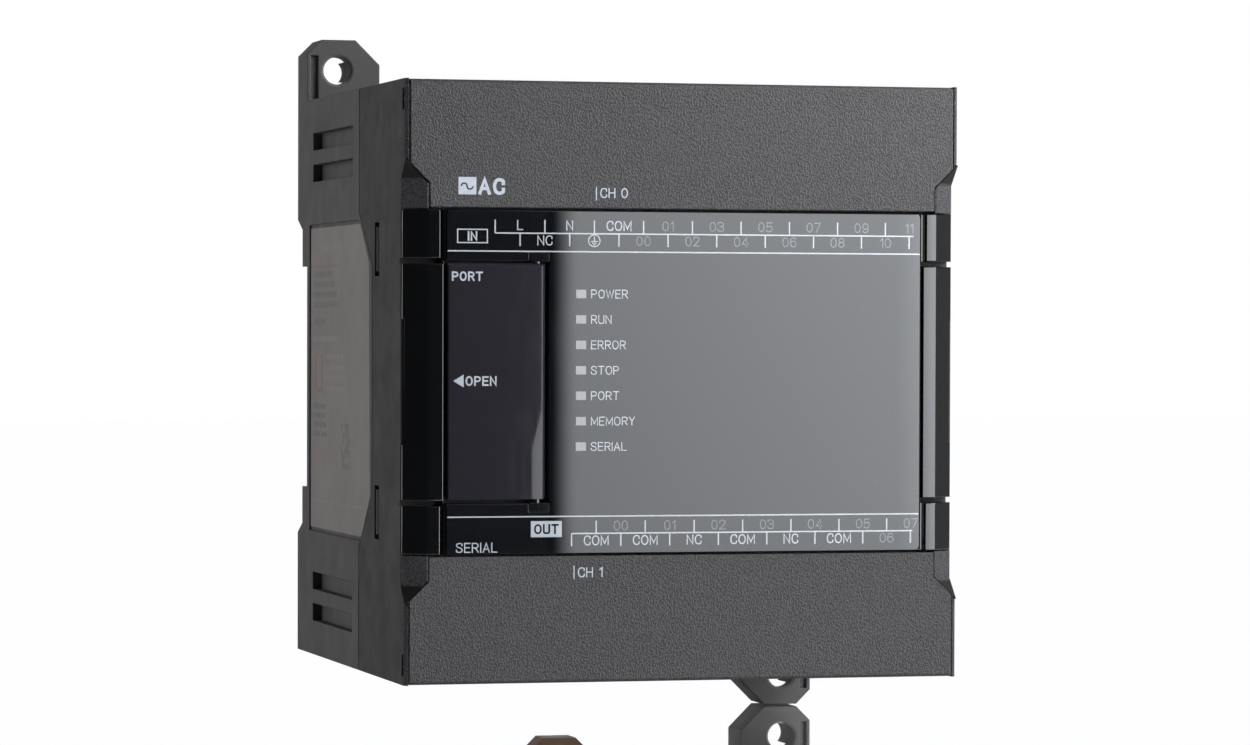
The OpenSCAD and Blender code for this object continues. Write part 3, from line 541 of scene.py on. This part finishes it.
# Letters as strokes on a grid 6 high: "line" runs straight, "bend" is rounded, "loop" is rounded and closed.
STROKES = {
    "A": [("line", (0, 0), (2.1, 6), (4.2, 0)), ("line", (0.8, 2), (3.4, 2))],
    "C": [("bend", (4, 4.3), (4, 6), (0, 6), (0, 0), (4, 0), (4, 1.7))],
    "D": [("line", (0, 0), (0, 6)), ("bend", (0, 6), (4, 6), (4, 0), (0, 0))],
    "E": [("line", (3.6, 6), (0, 6), (0, 0), (3.6, 0)), ("line", (0, 3.1), (3.2, 3.1))],
    "H": [("line", (0, 0), (0, 6)), ("line", (4, 0), (4, 6)), ("line", (0, 3.1), (4, 3.1))],
    "I": [("line", (0, 0), (0, 6))],
    "L": [("line", (0, 6), (0, 0), (3.4, 0))],
    "M": [("line", (0, 0), (0, 6), (2.4, 1), (4.8, 6), (4.8, 0))],
    "N": [("line", (0, 0), (0, 6), (4, 0), (4, 6))],
    "O": [("loop", (0, 0), (0, 6), (4.4, 6), (4.4, 0))],
    "P": [("line", (0, 0), (0, 6)), ("bend", (0, 6), (3.9, 6), (3.9, 2.8), (0, 2.8))],
    "R": [("line", (0, 0), (0, 6)), ("bend", (0, 6), (3.9, 6), (3.9, 2.9), (0, 2.9)),
          ("line", (2.1, 2.9), (4, 0))],
    "S": [("bend", (3.8, 4.5), (3.8, 6), (0.1, 6), (0.1, 3.4), (3.9, 2.8), (3.9, 0), (0, 0), (0, 1.6))],
    "T": [("line", (0, 6), (4.2, 6)), ("line", (2.1, 6), (2.1, 0))],
    "U": [("line", (0, 6), (0, 2)), ("bend", (0, 2), (0, 0), (4, 0), (4, 2)), ("line", (4, 2), (4, 6))],
    "W": [("line", (0, 6), (1.4, 0), (2.8, 6), (4.2, 0), (5.6, 6))],
    "Y": [("line", (0, 6), (2, 3), (4, 6)), ("line", (2, 3), (2, 0))],
    "0": [("loop", (0, 0), (0, 6), (3.8, 6), (3.8, 0))],
    "1": [("line", (0.3, 4.8), (1.8, 6), (1.8, 0))],
    "2": [("bend", (0.1, 4.4), (0.1, 6), (3.8, 6), (3.8, 3.6), (0, 0)), ("line", (0, 0), (3.9, 0))],
    "3": [("bend", (0.1, 4.8), (0.1, 6), (3.7, 6), (3.7, 3.2), (1.4, 3.2)),
          ("bend", (1.4, 3.2), (3.9, 3.2), (3.9, 0), (0, 0), (0, 1.4))],
    "4": [("line", (3, 0), (3, 6), (0, 1.6), (4, 1.6))],
    "5": [("line", (3.6, 6), (0.5, 6), (0.2, 3)), ("bend", (0.2, 3), (3.9, 4.4), (3.9, 0), (0, 0), (0, 1.3))],
    "6": [("bend", (3.6, 4.9), (3.4, 6), (0, 6), (0, 1.9)), ("loop", (0, 0), (0, 3.8), (3.9, 3.8), (3.9, 0))],
    "7": [("line", (0, 6), (3.9, 6), (1.3, 0))],
    "8": [("loop", (0.3, 3.2), (0.3, 6), (3.6, 6), (3.6, 3.2)),
          ("loop", (0, 0), (0, 3.2), (3.9, 3.2), (3.9, 0))],
    "9": [("bend", (0.3, 1.1), (0.5, 0), (3.9, 0), (3.9, 4.1)),
          ("loop", (0, 2.2), (0, 6), (3.9, 6), (3.9, 2.2))],
}
LETTER_GAP = 0.95
WORD_GAP = 3.2


def rounded_path(points, closed):
    """A path with its corners cut off three times over, which rounds them."""
    for _ in range(3):
        cut = [] if closed else [points[0]]
        pairs = list(zip(points, points[1:] + points[:1])) if closed else list(zip(points, points[1:]))
        for (x0, z0), (x1, z1) in pairs:
            cut.append((x0 * 0.72 + x1 * 0.28, z0 * 0.72 + z1 * 0.28))
            cut.append((x0 * 0.28 + x1 * 0.72, z0 * 0.28 + z1 * 0.72))
        if not closed:
            cut.append(points[-1])
        points = cut
    return points


class Print:
    """Ink on one face of one body: words, bars and outlines, gathered into one mesh."""

    def __init__(self, name, body, slot, material, face_y):
        self.name, self.body, self.slot, self.material = name, body, slot, material
        self.y = face_y
        self.shape = bmesh.new()
        self.layer = 0

    def front(self):
        """Depth of the next piece of ink: each lies a hair above the last, so none coincide."""
        self.layer = (self.layer + 1) % INK_LAYERS
        return self.y - INK_T - self.layer * INK_STEP

    def bar(self, x0, x1, z0, z1):
        """A filled rectangle."""
        add_box(self.shape, (x0, self.front(), z0), (x1, self.y + INK_T, z1))

    def frame(self, x0, x1, z0, z1, w):
        """The outline of a rectangle."""
        self.bar(x0, x1, z0, z0 + w)
        self.bar(x0, x1, z1 - w, z1)
        self.bar(x0, x0 + w, z0 + w, z1 - w)
        self.bar(x1 - w, x1, z0 + w, z1 - w)

    def word(self, text, x, z, height, side="CENTER", stroke=0.17 * MM):
        """Sets a word with its middle height at z; side says what x is."""
        unit = (height - stroke) / 6
        gap = LETTER_GAP + stroke / unit
        pen = 0.0
        paths = []
        for letter in text:
            if letter == " ":
                pen += WORD_GAP
                continue
            reach = 0.0
            for kind, *points in STROKES[letter]:
                reach = max(reach, *(px for px, _ in points))
                path = points if kind == "line" else rounded_path(points, kind == "loop")
                paths.append((kind == "loop", [(pen + px, pz) for px, pz in path]))
            pen += reach + gap
        wide = (pen - gap) * unit
        start = {"LEFT": x, "CENTER": x - wide / 2, "RIGHT": x - wide}[side]
        for closed, path in paths:
            self.path([(start + px * unit, z + (pz - 3) * unit) for px, pz in path], stroke, closed)

    def path(self, points, width, closed=False):
        """A line of even width through the points, with mitred corners and square ends."""
        here = [Vector(p) for p in points]
        if not closed:
            here[0] += (here[0] - here[1]).normalized() * width / 2
            here[-1] += (here[-1] - here[-2]).normalized() * width / 2
        count = len(here)
        sides = []
        for i, corner in enumerate(here):
            before = corner - here[i - 1] if closed or i > 0 else here[1] - corner
            after = here[(i + 1) % count] - corner if closed or i < count - 1 else before
            before, after = before.normalized(), after.normalized()
            across = Vector((-before.y - after.y, before.x + after.x)).normalized()
            reach = width / 2 / max(0.45, across.dot(Vector((-before.y, before.x))))
            sides.append((corner - across * reach, corner + across * reach))
        y = self.front()
        for i in range(count if closed else count - 1):
            (a, b), (c, d) = sides[i], sides[(i + 1) % count]
            self.polygon([tuple(a), tuple(b), tuple(d), tuple(c)], y)

    def polygon(self, points, y=None):
        """A filled flat outline of [x, z] points."""
        depth = self.front() if y is None else y
        corners = [self.shape.verts.new((x, depth, z)) for x, z in points]
        self.shape.faces.new(corners)

    def ring(self, x, z, radius, w, start=0.0, end=2 * math.pi, steps=28):
        """An arc of ink."""
        y = self.front()
        for i in range(steps):
            a = start + (end - start) * i / steps
            b = start + (end - start) * (i + 1) / steps
            outer, inner = radius, radius - w
            self.polygon([(x + inner * math.cos(a), z + inner * math.sin(a)),
                          (x + outer * math.cos(a), z + outer * math.sin(a)),
                          (x + outer * math.cos(b), z + outer * math.sin(b)),
                          (x + inner * math.cos(b), z + inner * math.sin(b))], y)

    def done(self):
        """Turns every flat face towards the front and makes the piece."""
        self.shape.normal_update()
        backward = [f for f in self.shape.faces if len(f.edges[0].link_faces) == 1 and f.normal.y > 0]
        bmesh.ops.reverse_faces(self.shape, faces=backward)
        piece_from(self.shape, self.name, self.body, self.material)


TEXT = 1.5 * MM
SMALL = 1.32 * MM
LINE = 0.2 * MM
BOLD = 0.26 * MM
PITCH = 7.6 * MM
LINE_END = 36 * MM
STRIP_INSET = 0.1 * MM

words = Print("plate_print", "case", "display", INK_PLATE, PLATE_Y)
dim = Print("plate_numerals", "case", "display", INK_DIM, PLATE_Y)

# upper strip: separating lines, terminal ticks and names
words.bar(PLATE_LOW[0] + STRIP_INSET, PLATE_HIGH[0] - STRIP_INSET, 19.4 * MM, 19.6 * MM)
IN_ROW, IN_UP, IN_DOWN = 22.2 * MM, 23.4 * MM, 21.15 * MM
IN_START = -29.3 * MM
IN_UP_X = IN_START + PITCH / 2
IN_DOWN_X = IN_START + PITCH
words.bar(IN_START, LINE_END, IN_ROW - LINE / 2, IN_ROW + LINE / 2)
for i in range(9):
    x = IN_START + PITCH * i
    words.bar(x - LINE / 2, x + LINE / 2, IN_ROW, 24.2 * MM)
for i in range(9):
    x = IN_UP_X + PITCH * i
    words.bar(x - LINE / 2, x + LINE / 2, 20.3 * MM, IN_ROW)
for i, text in enumerate(["L", "N", "COM"]):
    words.word(text, IN_UP_X + PITCH * i, IN_UP, TEXT)
for i in range(6):
    dim.word(f"{2 * i + 1:02d}", IN_UP_X + PITCH * (i + 3), IN_UP, TEXT)
    dim.word(f"{2 * i:02d}", IN_DOWN_X + PITCH * (i + 2), IN_DOWN, TEXT)
words.word("NC", IN_DOWN_X, IN_DOWN, TEXT)
# protective earth sign
EARTH_X = IN_DOWN_X + PITCH
words.ring(EARTH_X, IN_DOWN, 0.95 * MM, 0.14 * MM)
words.bar(EARTH_X - 0.07 * MM, EARTH_X + 0.07 * MM, IN_DOWN - 0.1 * MM, IN_DOWN + 0.7 * MM)
for i, half in enumerate((0.55, 0.35, 0.15)):
    z = IN_DOWN - (0.1 + 0.25 * i) * MM
    words.bar(EARTH_X - half * MM, EARTH_X + half * MM, z - 0.06 * MM, z + 0.06 * MM)
words.frame(-35.1 * MM, -30.4 * MM, 20.65 * MM, 22.8 * MM, 0.18 * MM)
words.word("IN", -32.75 * MM, 21.72 * MM, 1.4 * MM, stroke=BOLD)

# lower strip
words.bar(PLATE_LOW[0] + STRIP_INSET, PLATE_HIGH[0] - STRIP_INSET, -20.13 * MM, -19.93 * MM)
OUT_ROW, OUT_UP, OUT_DOWN = -22.6 * MM, -21.45 * MM, -23.65 * MM
OUT_START = -17.5 * MM
OUT_DOWN_X = OUT_START + PITCH / 2
OUT_UP_X = OUT_START + PITCH
words.bar(OUT_START, LINE_END, OUT_ROW - LINE / 2, OUT_ROW + LINE / 2)
for i in range(8):
    x = OUT_START + PITCH * i
    words.bar(x - LINE / 2, x + LINE / 2, -24.5 * MM, OUT_ROW)
for i in range(7):
    x = OUT_DOWN_X + PITCH * i
    words.bar(x - LINE / 2, x + LINE / 2, OUT_ROW, -20.7 * MM)
for i, text in enumerate(["00", "01", "02", "03", "04", "05", "07"]):
    dim.word(text, OUT_UP_X + PITCH * i, OUT_UP, TEXT)
for i, text in enumerate(["COM", "COM", "NC", "COM", "NC", "COM"]):
    words.word(text, OUT_DOWN_X + PITCH * i, OUT_DOWN, TEXT)
dim.word("06", OUT_DOWN_X + PITCH * 6, OUT_DOWN, TEXT)
words.bar(-23.75 * MM, -19.0 * MM, -23.1 * MM, -20.7 * MM)
words.word("SERIAL", -35.1 * MM, -24.6 * MM, TEXT, side="LEFT")

# status windows and their names
LED_X, LED_TOP, LED_STEP = -16.1 * MM, 13.2 * MM, 3.8 * MM
WINDOW_HALF_X, WINDOW_HALF_Z = 0.78 * MM, 0.63 * MM
windows = Print("status_windows", "case", "guide", INK_WINDOW, PLATE_Y)
for i, text in enumerate(["POWER", "RUN", "ERROR", "STOP", "PORT", "MEMORY", "SERIAL"]):
    z = LED_TOP - LED_STEP * i
    windows.bar(LED_X - WINDOW_HALF_X, LED_X + WINDOW_HALF_X, z - WINDOW_HALF_Z, z + WINDOW_HALF_Z)
    words.word(text, -14.5 * MM, z, SMALL, side="LEFT", stroke=0.14 * MM)

# door
door_print = Print("door_print", "peripheral_door", "door", INK_PLATE, DOOR_Y)
door_print.word("PORT", -35.8 * MM, 15.75 * MM, 1.4 * MM, side="LEFT", stroke=BOLD)
door_print.polygon([(-35.7 * MM, 0.2 * MM), (-34.1 * MM, 1.15 * MM), (-34.1 * MM, -0.75 * MM)])
door_print.word("OPEN", -33.7 * MM, 0.2 * MM, 1.45 * MM, side="LEFT", stroke=BOLD)

# the dark word in the light box
box_word = Print("out_box_word", "case", "display", MATERIALS["display"], PLATE_Y - INK_T)
box_word.word("OUT", -21.37 * MM, -21.9 * MM, 1.5 * MM, stroke=BOLD)

# covers: supply sign and channel numbers
top_print = Print("input_cover_print", "input_cover", "cover", INK, COVER_Y)
top_print.bar(-34.96 * MM, -32.24 * MM, 27.87 * MM, 30.45 * MM)
top_print.word("AC", -31.7 * MM, 29.1 * MM, 2.5 * MM, side="LEFT", stroke=0.5 * MM)
top_print.bar(-13.95 * MM, -13.8 * MM, 27.2 * MM, 29.2 * MM)
top_print.word("CH 0", -13.2 * MM, 28.3 * MM, TEXT, side="LEFT")
low_print = Print("output_cover_print", "output_cover", "cover", INK, COVER_Y)
low_print.bar(-17.25 * MM, -17.1 * MM, -29.4 * MM, -27.4 * MM)
low_print.word("CH 1", -16.5 * MM, -28.4 * MM, TEXT, side="LEFT")
wave = Print("supply_sign", "input_cover", "cover", MATERIALS["chip"], COVER_Y - INK_T)
wave.ring(-34.1 * MM, 29.1 * MM, 0.55 * MM, 0.22 * MM, 0, math.pi, 14)
wave.ring(-33.22 * MM, 29.1 * MM, 0.55 * MM, 0.22 * MM, math.pi, 2 * math.pi, 14)

for ink in (words, dim, windows, door_print, box_word, top_print, low_print, wave):
    ink.done()


# ---------- rating label ----------

LABEL_LOW, LABEL_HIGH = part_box("rating_label")
LABEL_OUT = LABEL_LOW[0] - 0.012 * MM
LABEL_IN = LABEL_LOW[0] + 0.02 * MM
LABEL_REAR = LABEL_HIGH[1] - 1.5 * MM
SQUARE = 0.8 * MM


def label_bar(shape, y0, y1, z0, z1):
    """A filled rectangle on the label."""
    add_box(shape, (LABEL_OUT, y0, z0), (LABEL_IN, y1, z1))


def label_row(shape, start, reach, z, height):
    """A row of marks of uneven length that stands for a line of small print."""
    y = start
    while y > start - reach:
        length = random.uniform(0.7, 2.4) * MM
        label_bar(shape, y - length, y, z - height / 2, z + height / 2)
        y -= length + random.uniform(0.45, 1.1) * MM


def label_print():
    """Rows of bars, ruled lines, a small frame and a block of squares, all without meaning."""
    pale, dark, warm = bmesh.new(), bmesh.new(), bmesh.new()
    label_row(pale, LABEL_REAR - 7 * MM, 17 * MM, 20.9 * MM, 1.3 * MM)
    label_bar(warm, LABEL_REAR - 24 * MM, LABEL_REAR, 17.7 * MM, 17.95 * MM)
    for row, length in enumerate((14.5, 17.5, 18.5, 20.5)):
        label_row(dark, LABEL_REAR - 1 * MM, length * MM, (16.6 - 1.63 * row) * MM, 0.9 * MM)
    label_row(dark, LABEL_REAR - 1 * MM, 8 * MM, 9 * MM, 1.1 * MM)
    label_row(pale, LABEL_REAR - 1 * MM, 19 * MM, 6.3 * MM, 0.9 * MM)
    for edge in (0, 5.2):
        label_bar(warm, LABEL_REAR - (3.2 + edge) * MM, LABEL_REAR - (2 + edge) * MM, -2.4 * MM, 4 * MM)
    label_bar(warm, LABEL_REAR - 7.2 * MM, LABEL_REAR - 3.2 * MM, -2.4 * MM, -1.6 * MM)
    for row in range(4):
        label_row(pale, LABEL_REAR - 12 * MM, 14 * MM, (3.4 - 1.7 * row) * MM, 0.8 * MM)
        label_row(dark, LABEL_REAR - 1 * MM, 9 * MM, (-4.6 - 1.5 * row) * MM, 0.8 * MM)
    for i in range(9):
        for j in range(9):
            if random.random() < 0.5:
                y = LABEL_REAR - 24 * MM - SQUARE * i
                z = -7 * MM - SQUARE * j
                label_bar(dark, y - SQUARE, y, z - SQUARE, z)
    label_bar(pale, LABEL_LOW[1] + 6 * MM, LABEL_REAR, -19.9 * MM, -19.75 * MM)
    for shape, name, ink in ((pale, "label_pale_print", LABEL_PALE), (dark, "label_dark_print", LABEL_DARK),
                             (warm, "label_warm_print", LABEL_WARM)):
        piece_from(shape, name, "case", ink)


label_print()


# ---------- studio ----------

class Stage:
    """A node material for things that are not part of the object."""

    def __init__(self, name):
        self.material = bpy.data.materials.new(name)
        self.material.use_nodes = True
        self.tree = self.material.node_tree
        self.tree.nodes.remove(self.tree.nodes["Principled BSDF"])
        self.out = self.tree.nodes["Material Output"].inputs["Surface"]

    def node(self, kind, **values):
        node = self.tree.nodes.new(kind)
        for key, value in values.items():
            node.inputs[key.replace("_", " ")].default_value = value
        return node

    def link(self, source, target):
        self.tree.links.new(source, target)

    def ramp(self, value, start, end, low, high, smooth=False):
        node = self.node("ShaderNodeMapRange", From_Min=start, From_Max=end, To_Min=low, To_Max=high)
        node.interpolation_type = "SMOOTHSTEP" if smooth else "LINEAR"
        self.link(value, node.inputs["Value"])
        return node.outputs["Result"]

    def times(self, first, second):
        node = self.tree.nodes.new("ShaderNodeMath")
        node.operation = "MULTIPLY"
        self.link(first, node.inputs[0])
        self.link(second, node.inputs[1])
        return node.outputs["Value"]

    def mixed(self, factor, first, second):
        node = self.tree.nodes.new("ShaderNodeMixShader")
        self.link(factor, node.inputs["Fac"])
        self.link(first, node.inputs[1])
        self.link(second, node.inputs[2])
        return node.outputs["Shader"]


def flat_panel(name, corners, material):
    """A flat stage panel with the given corners."""
    shape = bmesh.new()
    shape.faces.new([shape.verts.new(c) for c in corners])
    mesh = bpy.data.meshes.new(name)
    shape.to_mesh(mesh)
    shape.free()
    mesh.materials.append(material)
    panel = new_object(name, mesh)
    return panel


def upright_panel(name, x, y, z, material):
    """A panel across X and Z that the camera does not see."""
    corners = [(x[0], y, z[0]), (x[1], y, z[0]), (x[1], y, z[1]), (x[0], y, z[1])]
    flat_panel(name, corners, material).visible_camera = False


def plain_glow(name, strength):
    """The same white glow all over."""
    stage = Stage(name)
    glow = stage.node("ShaderNodeEmission", Strength=strength)
    stage.link(glow.outputs["Emission"], stage.out)
    return stage.material


def key_glow(name, strength, edge_x, fade):
    """Glow of the large soft box: a soft left edge, then a rise to the right with a step in it, and a
    rise towards the top."""
    stage = Stage(name)
    place = stage.node("ShaderNodeTexCoord")
    split = stage.node("ShaderNodeSeparateXYZ")
    stage.link(place.outputs["Object"], split.inputs["Vector"])
    x, z = split.outputs["X"], split.outputs["Z"]
    glow = stage.ramp(x, edge_x, edge_x + fade, 0, strength, smooth=True)
    step, step_end, panel_end = 0.264, 0.274, 0.5
    for ramp in (stage.ramp(x, edge_x, step, 0.95, 1.3), stage.ramp(x, step, step_end, 1, 1.3),
                 stage.ramp(x, step_end, panel_end, 1, 1.3), stage.ramp(z, -0.07, 0.06, 0.9, 1.13)):
        glow = stage.times(glow, ramp)
    light = stage.node("ShaderNodeEmission", Color=(0.96, 0.995, 1.04, 1))
    stage.link(glow, light.inputs["Strength"])
    stage.link(light.outputs["Emission"], stage.out)
    return stage.material


def floor_material():
    """White table with a polished top: it glows for the camera, and mirrors at a low angle."""
    stage = Stage("floor_white")
    facing = stage.node("ShaderNodeLayerWeight", Blend=0.5)
    share = stage.ramp(facing.outputs["Facing"], 0.5, 0.92, 0.04, 0.975, smooth=True)
    mirror = stage.node("ShaderNodeBsdfGlossy", Roughness=0.015, Color=(0.97, 0.97, 0.98, 1))
    white = stage.node("ShaderNodeEmission", Strength=0.97)
    matte = stage.node("ShaderNodeBsdfDiffuse", Color=(0.7, 0.7, 0.71, 1))
    ray = stage.node("ShaderNodeLightPath")
    base = stage.mixed(ray.outputs["Is Camera Ray"], matte.outputs["BSDF"], white.outputs["Emission"])
    top = stage.mixed(share, base, mirror.outputs["BSDF"])
    stage.link(top, stage.out)
    return stage.material


def area_light(name, place, aim, size, power):
    """A rectangular soft light that points at a place."""
    data = bpy.data.lights.new(name, "AREA")
    data.shape = "RECTANGLE"
    data.size, data.size_y = size
    data.energy = power
    light = bpy.data.objects.new(name, data)
    SCENE.collection.objects.link(light)
    light.location = place
    light.rotation_mode = "QUATERNION"
    light.rotation_quaternion = (Vector(aim) - Vector(place)).to_track_quat("-Z", "Y")


def studio():
    """The table, the glowing panels around it, the soft lights and the white room."""
    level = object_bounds()[0][2] - 0.2 * MM
    floor = [(-6, -6, level), (6, -6, level), (6, 2.39, level), (-6, 2.39, level)]
    flat_panel("floor", floor, floor_material())

    upright_panel("far_panel", (0.05, 1.5), 2.4, (-0.2, 0.8), plain_glow("far_glow", 1.02))
    upright_panel("far_left_panel", (-2.2, -0.1), 2.4, (-0.2, 1.2), plain_glow("far_left_glow", 0.4))
    key = key_glow("key_glow", 3, 0.154, 0.0085)
    upright_panel("key_panel", (0.153, 0.78), -0.80, (-0.42, 0.50), key)
    right = [(1.2, -0.1, -0.3), (1.2, 1.1, -0.3), (1.2, 1.1, 0.7), (1.2, -0.1, 0.7)]
    flat_panel("right_panel", right, plain_glow("right_glow", 0.25)).visible_camera = False
    edge = [(1.2, -0.75, -0.3), (1.2, -0.15, -0.3), (1.2, -0.15, 0.6), (1.2, -0.75, 0.6)]
    strip = flat_panel("edge_panel", edge, plain_glow("edge_glow", 7))
    strip.visible_camera = False
    strip.visible_diffuse = False
    area_light("left_fill", (-1.3, 0.35, 0.25), (0, -0.04, 0), (0.3, 0.7), 4.2)
    area_light("top_fill", (0.45, -0.5, 0.95), (0, -0.06, 0), (0.9, 0.7), 2.1)
    area_light("corner_fill", (0.13, -0.16, 0.11), (0.03, -0.08, 0.02), (0.07, 0.07), 0.42)

    world = bpy.data.worlds.new("studio_world")
    SCENE.world = world
    world.use_nodes = True
    tree = world.node_tree
    room = tree.nodes["Background"]
    room.inputs["Color"].default_value = (0.045, 0.045, 0.047, 1)
    seen = tree.nodes.new("ShaderNodeBackground")
    seen.inputs["Color"].default_value = (1, 1, 1, 1)
    ray = tree.nodes.new("ShaderNodeLightPath")
    mix = tree.nodes.new("ShaderNodeMixShader")
    tree.links.new(ray.outputs["Is Camera Ray"], mix.inputs["Fac"])
    tree.links.new(room.outputs["Background"], mix.inputs[1])
    tree.links.new(seen.outputs["Background"], mix.inputs[2])
    tree.links.new(mix.outputs["Shader"], tree.nodes["World Output"].inputs["Surface"])


def camera():
    """The photograph's viewpoint: from the front left, nearly level."""
    data = bpy.data.cameras.new("camera")
    data.sensor_width = 36
    data.lens = 138.1
    data.shift_x = -0.0535
    data.shift_y = 0.0596
    data.clip_start = 0.01
    lens = bpy.data.objects.new("camera", data)
    SCENE.collection.objects.link(lens)
    yaw, pitch, roll = math.radians(15.41), math.radians(-1.44), math.radians(-0.18)
    lens.location = (-0.1905, -0.7799, 0.0084)
    turn = Matrix.Rotation(-yaw, 4, "Z") @ Matrix.Rotation(math.pi / 2 + pitch, 4, "X")
    lens.rotation_euler = (turn @ Matrix.Rotation(-roll, 4, "Z")).to_euler()
    SCENE.camera = lens


studio()
camera()
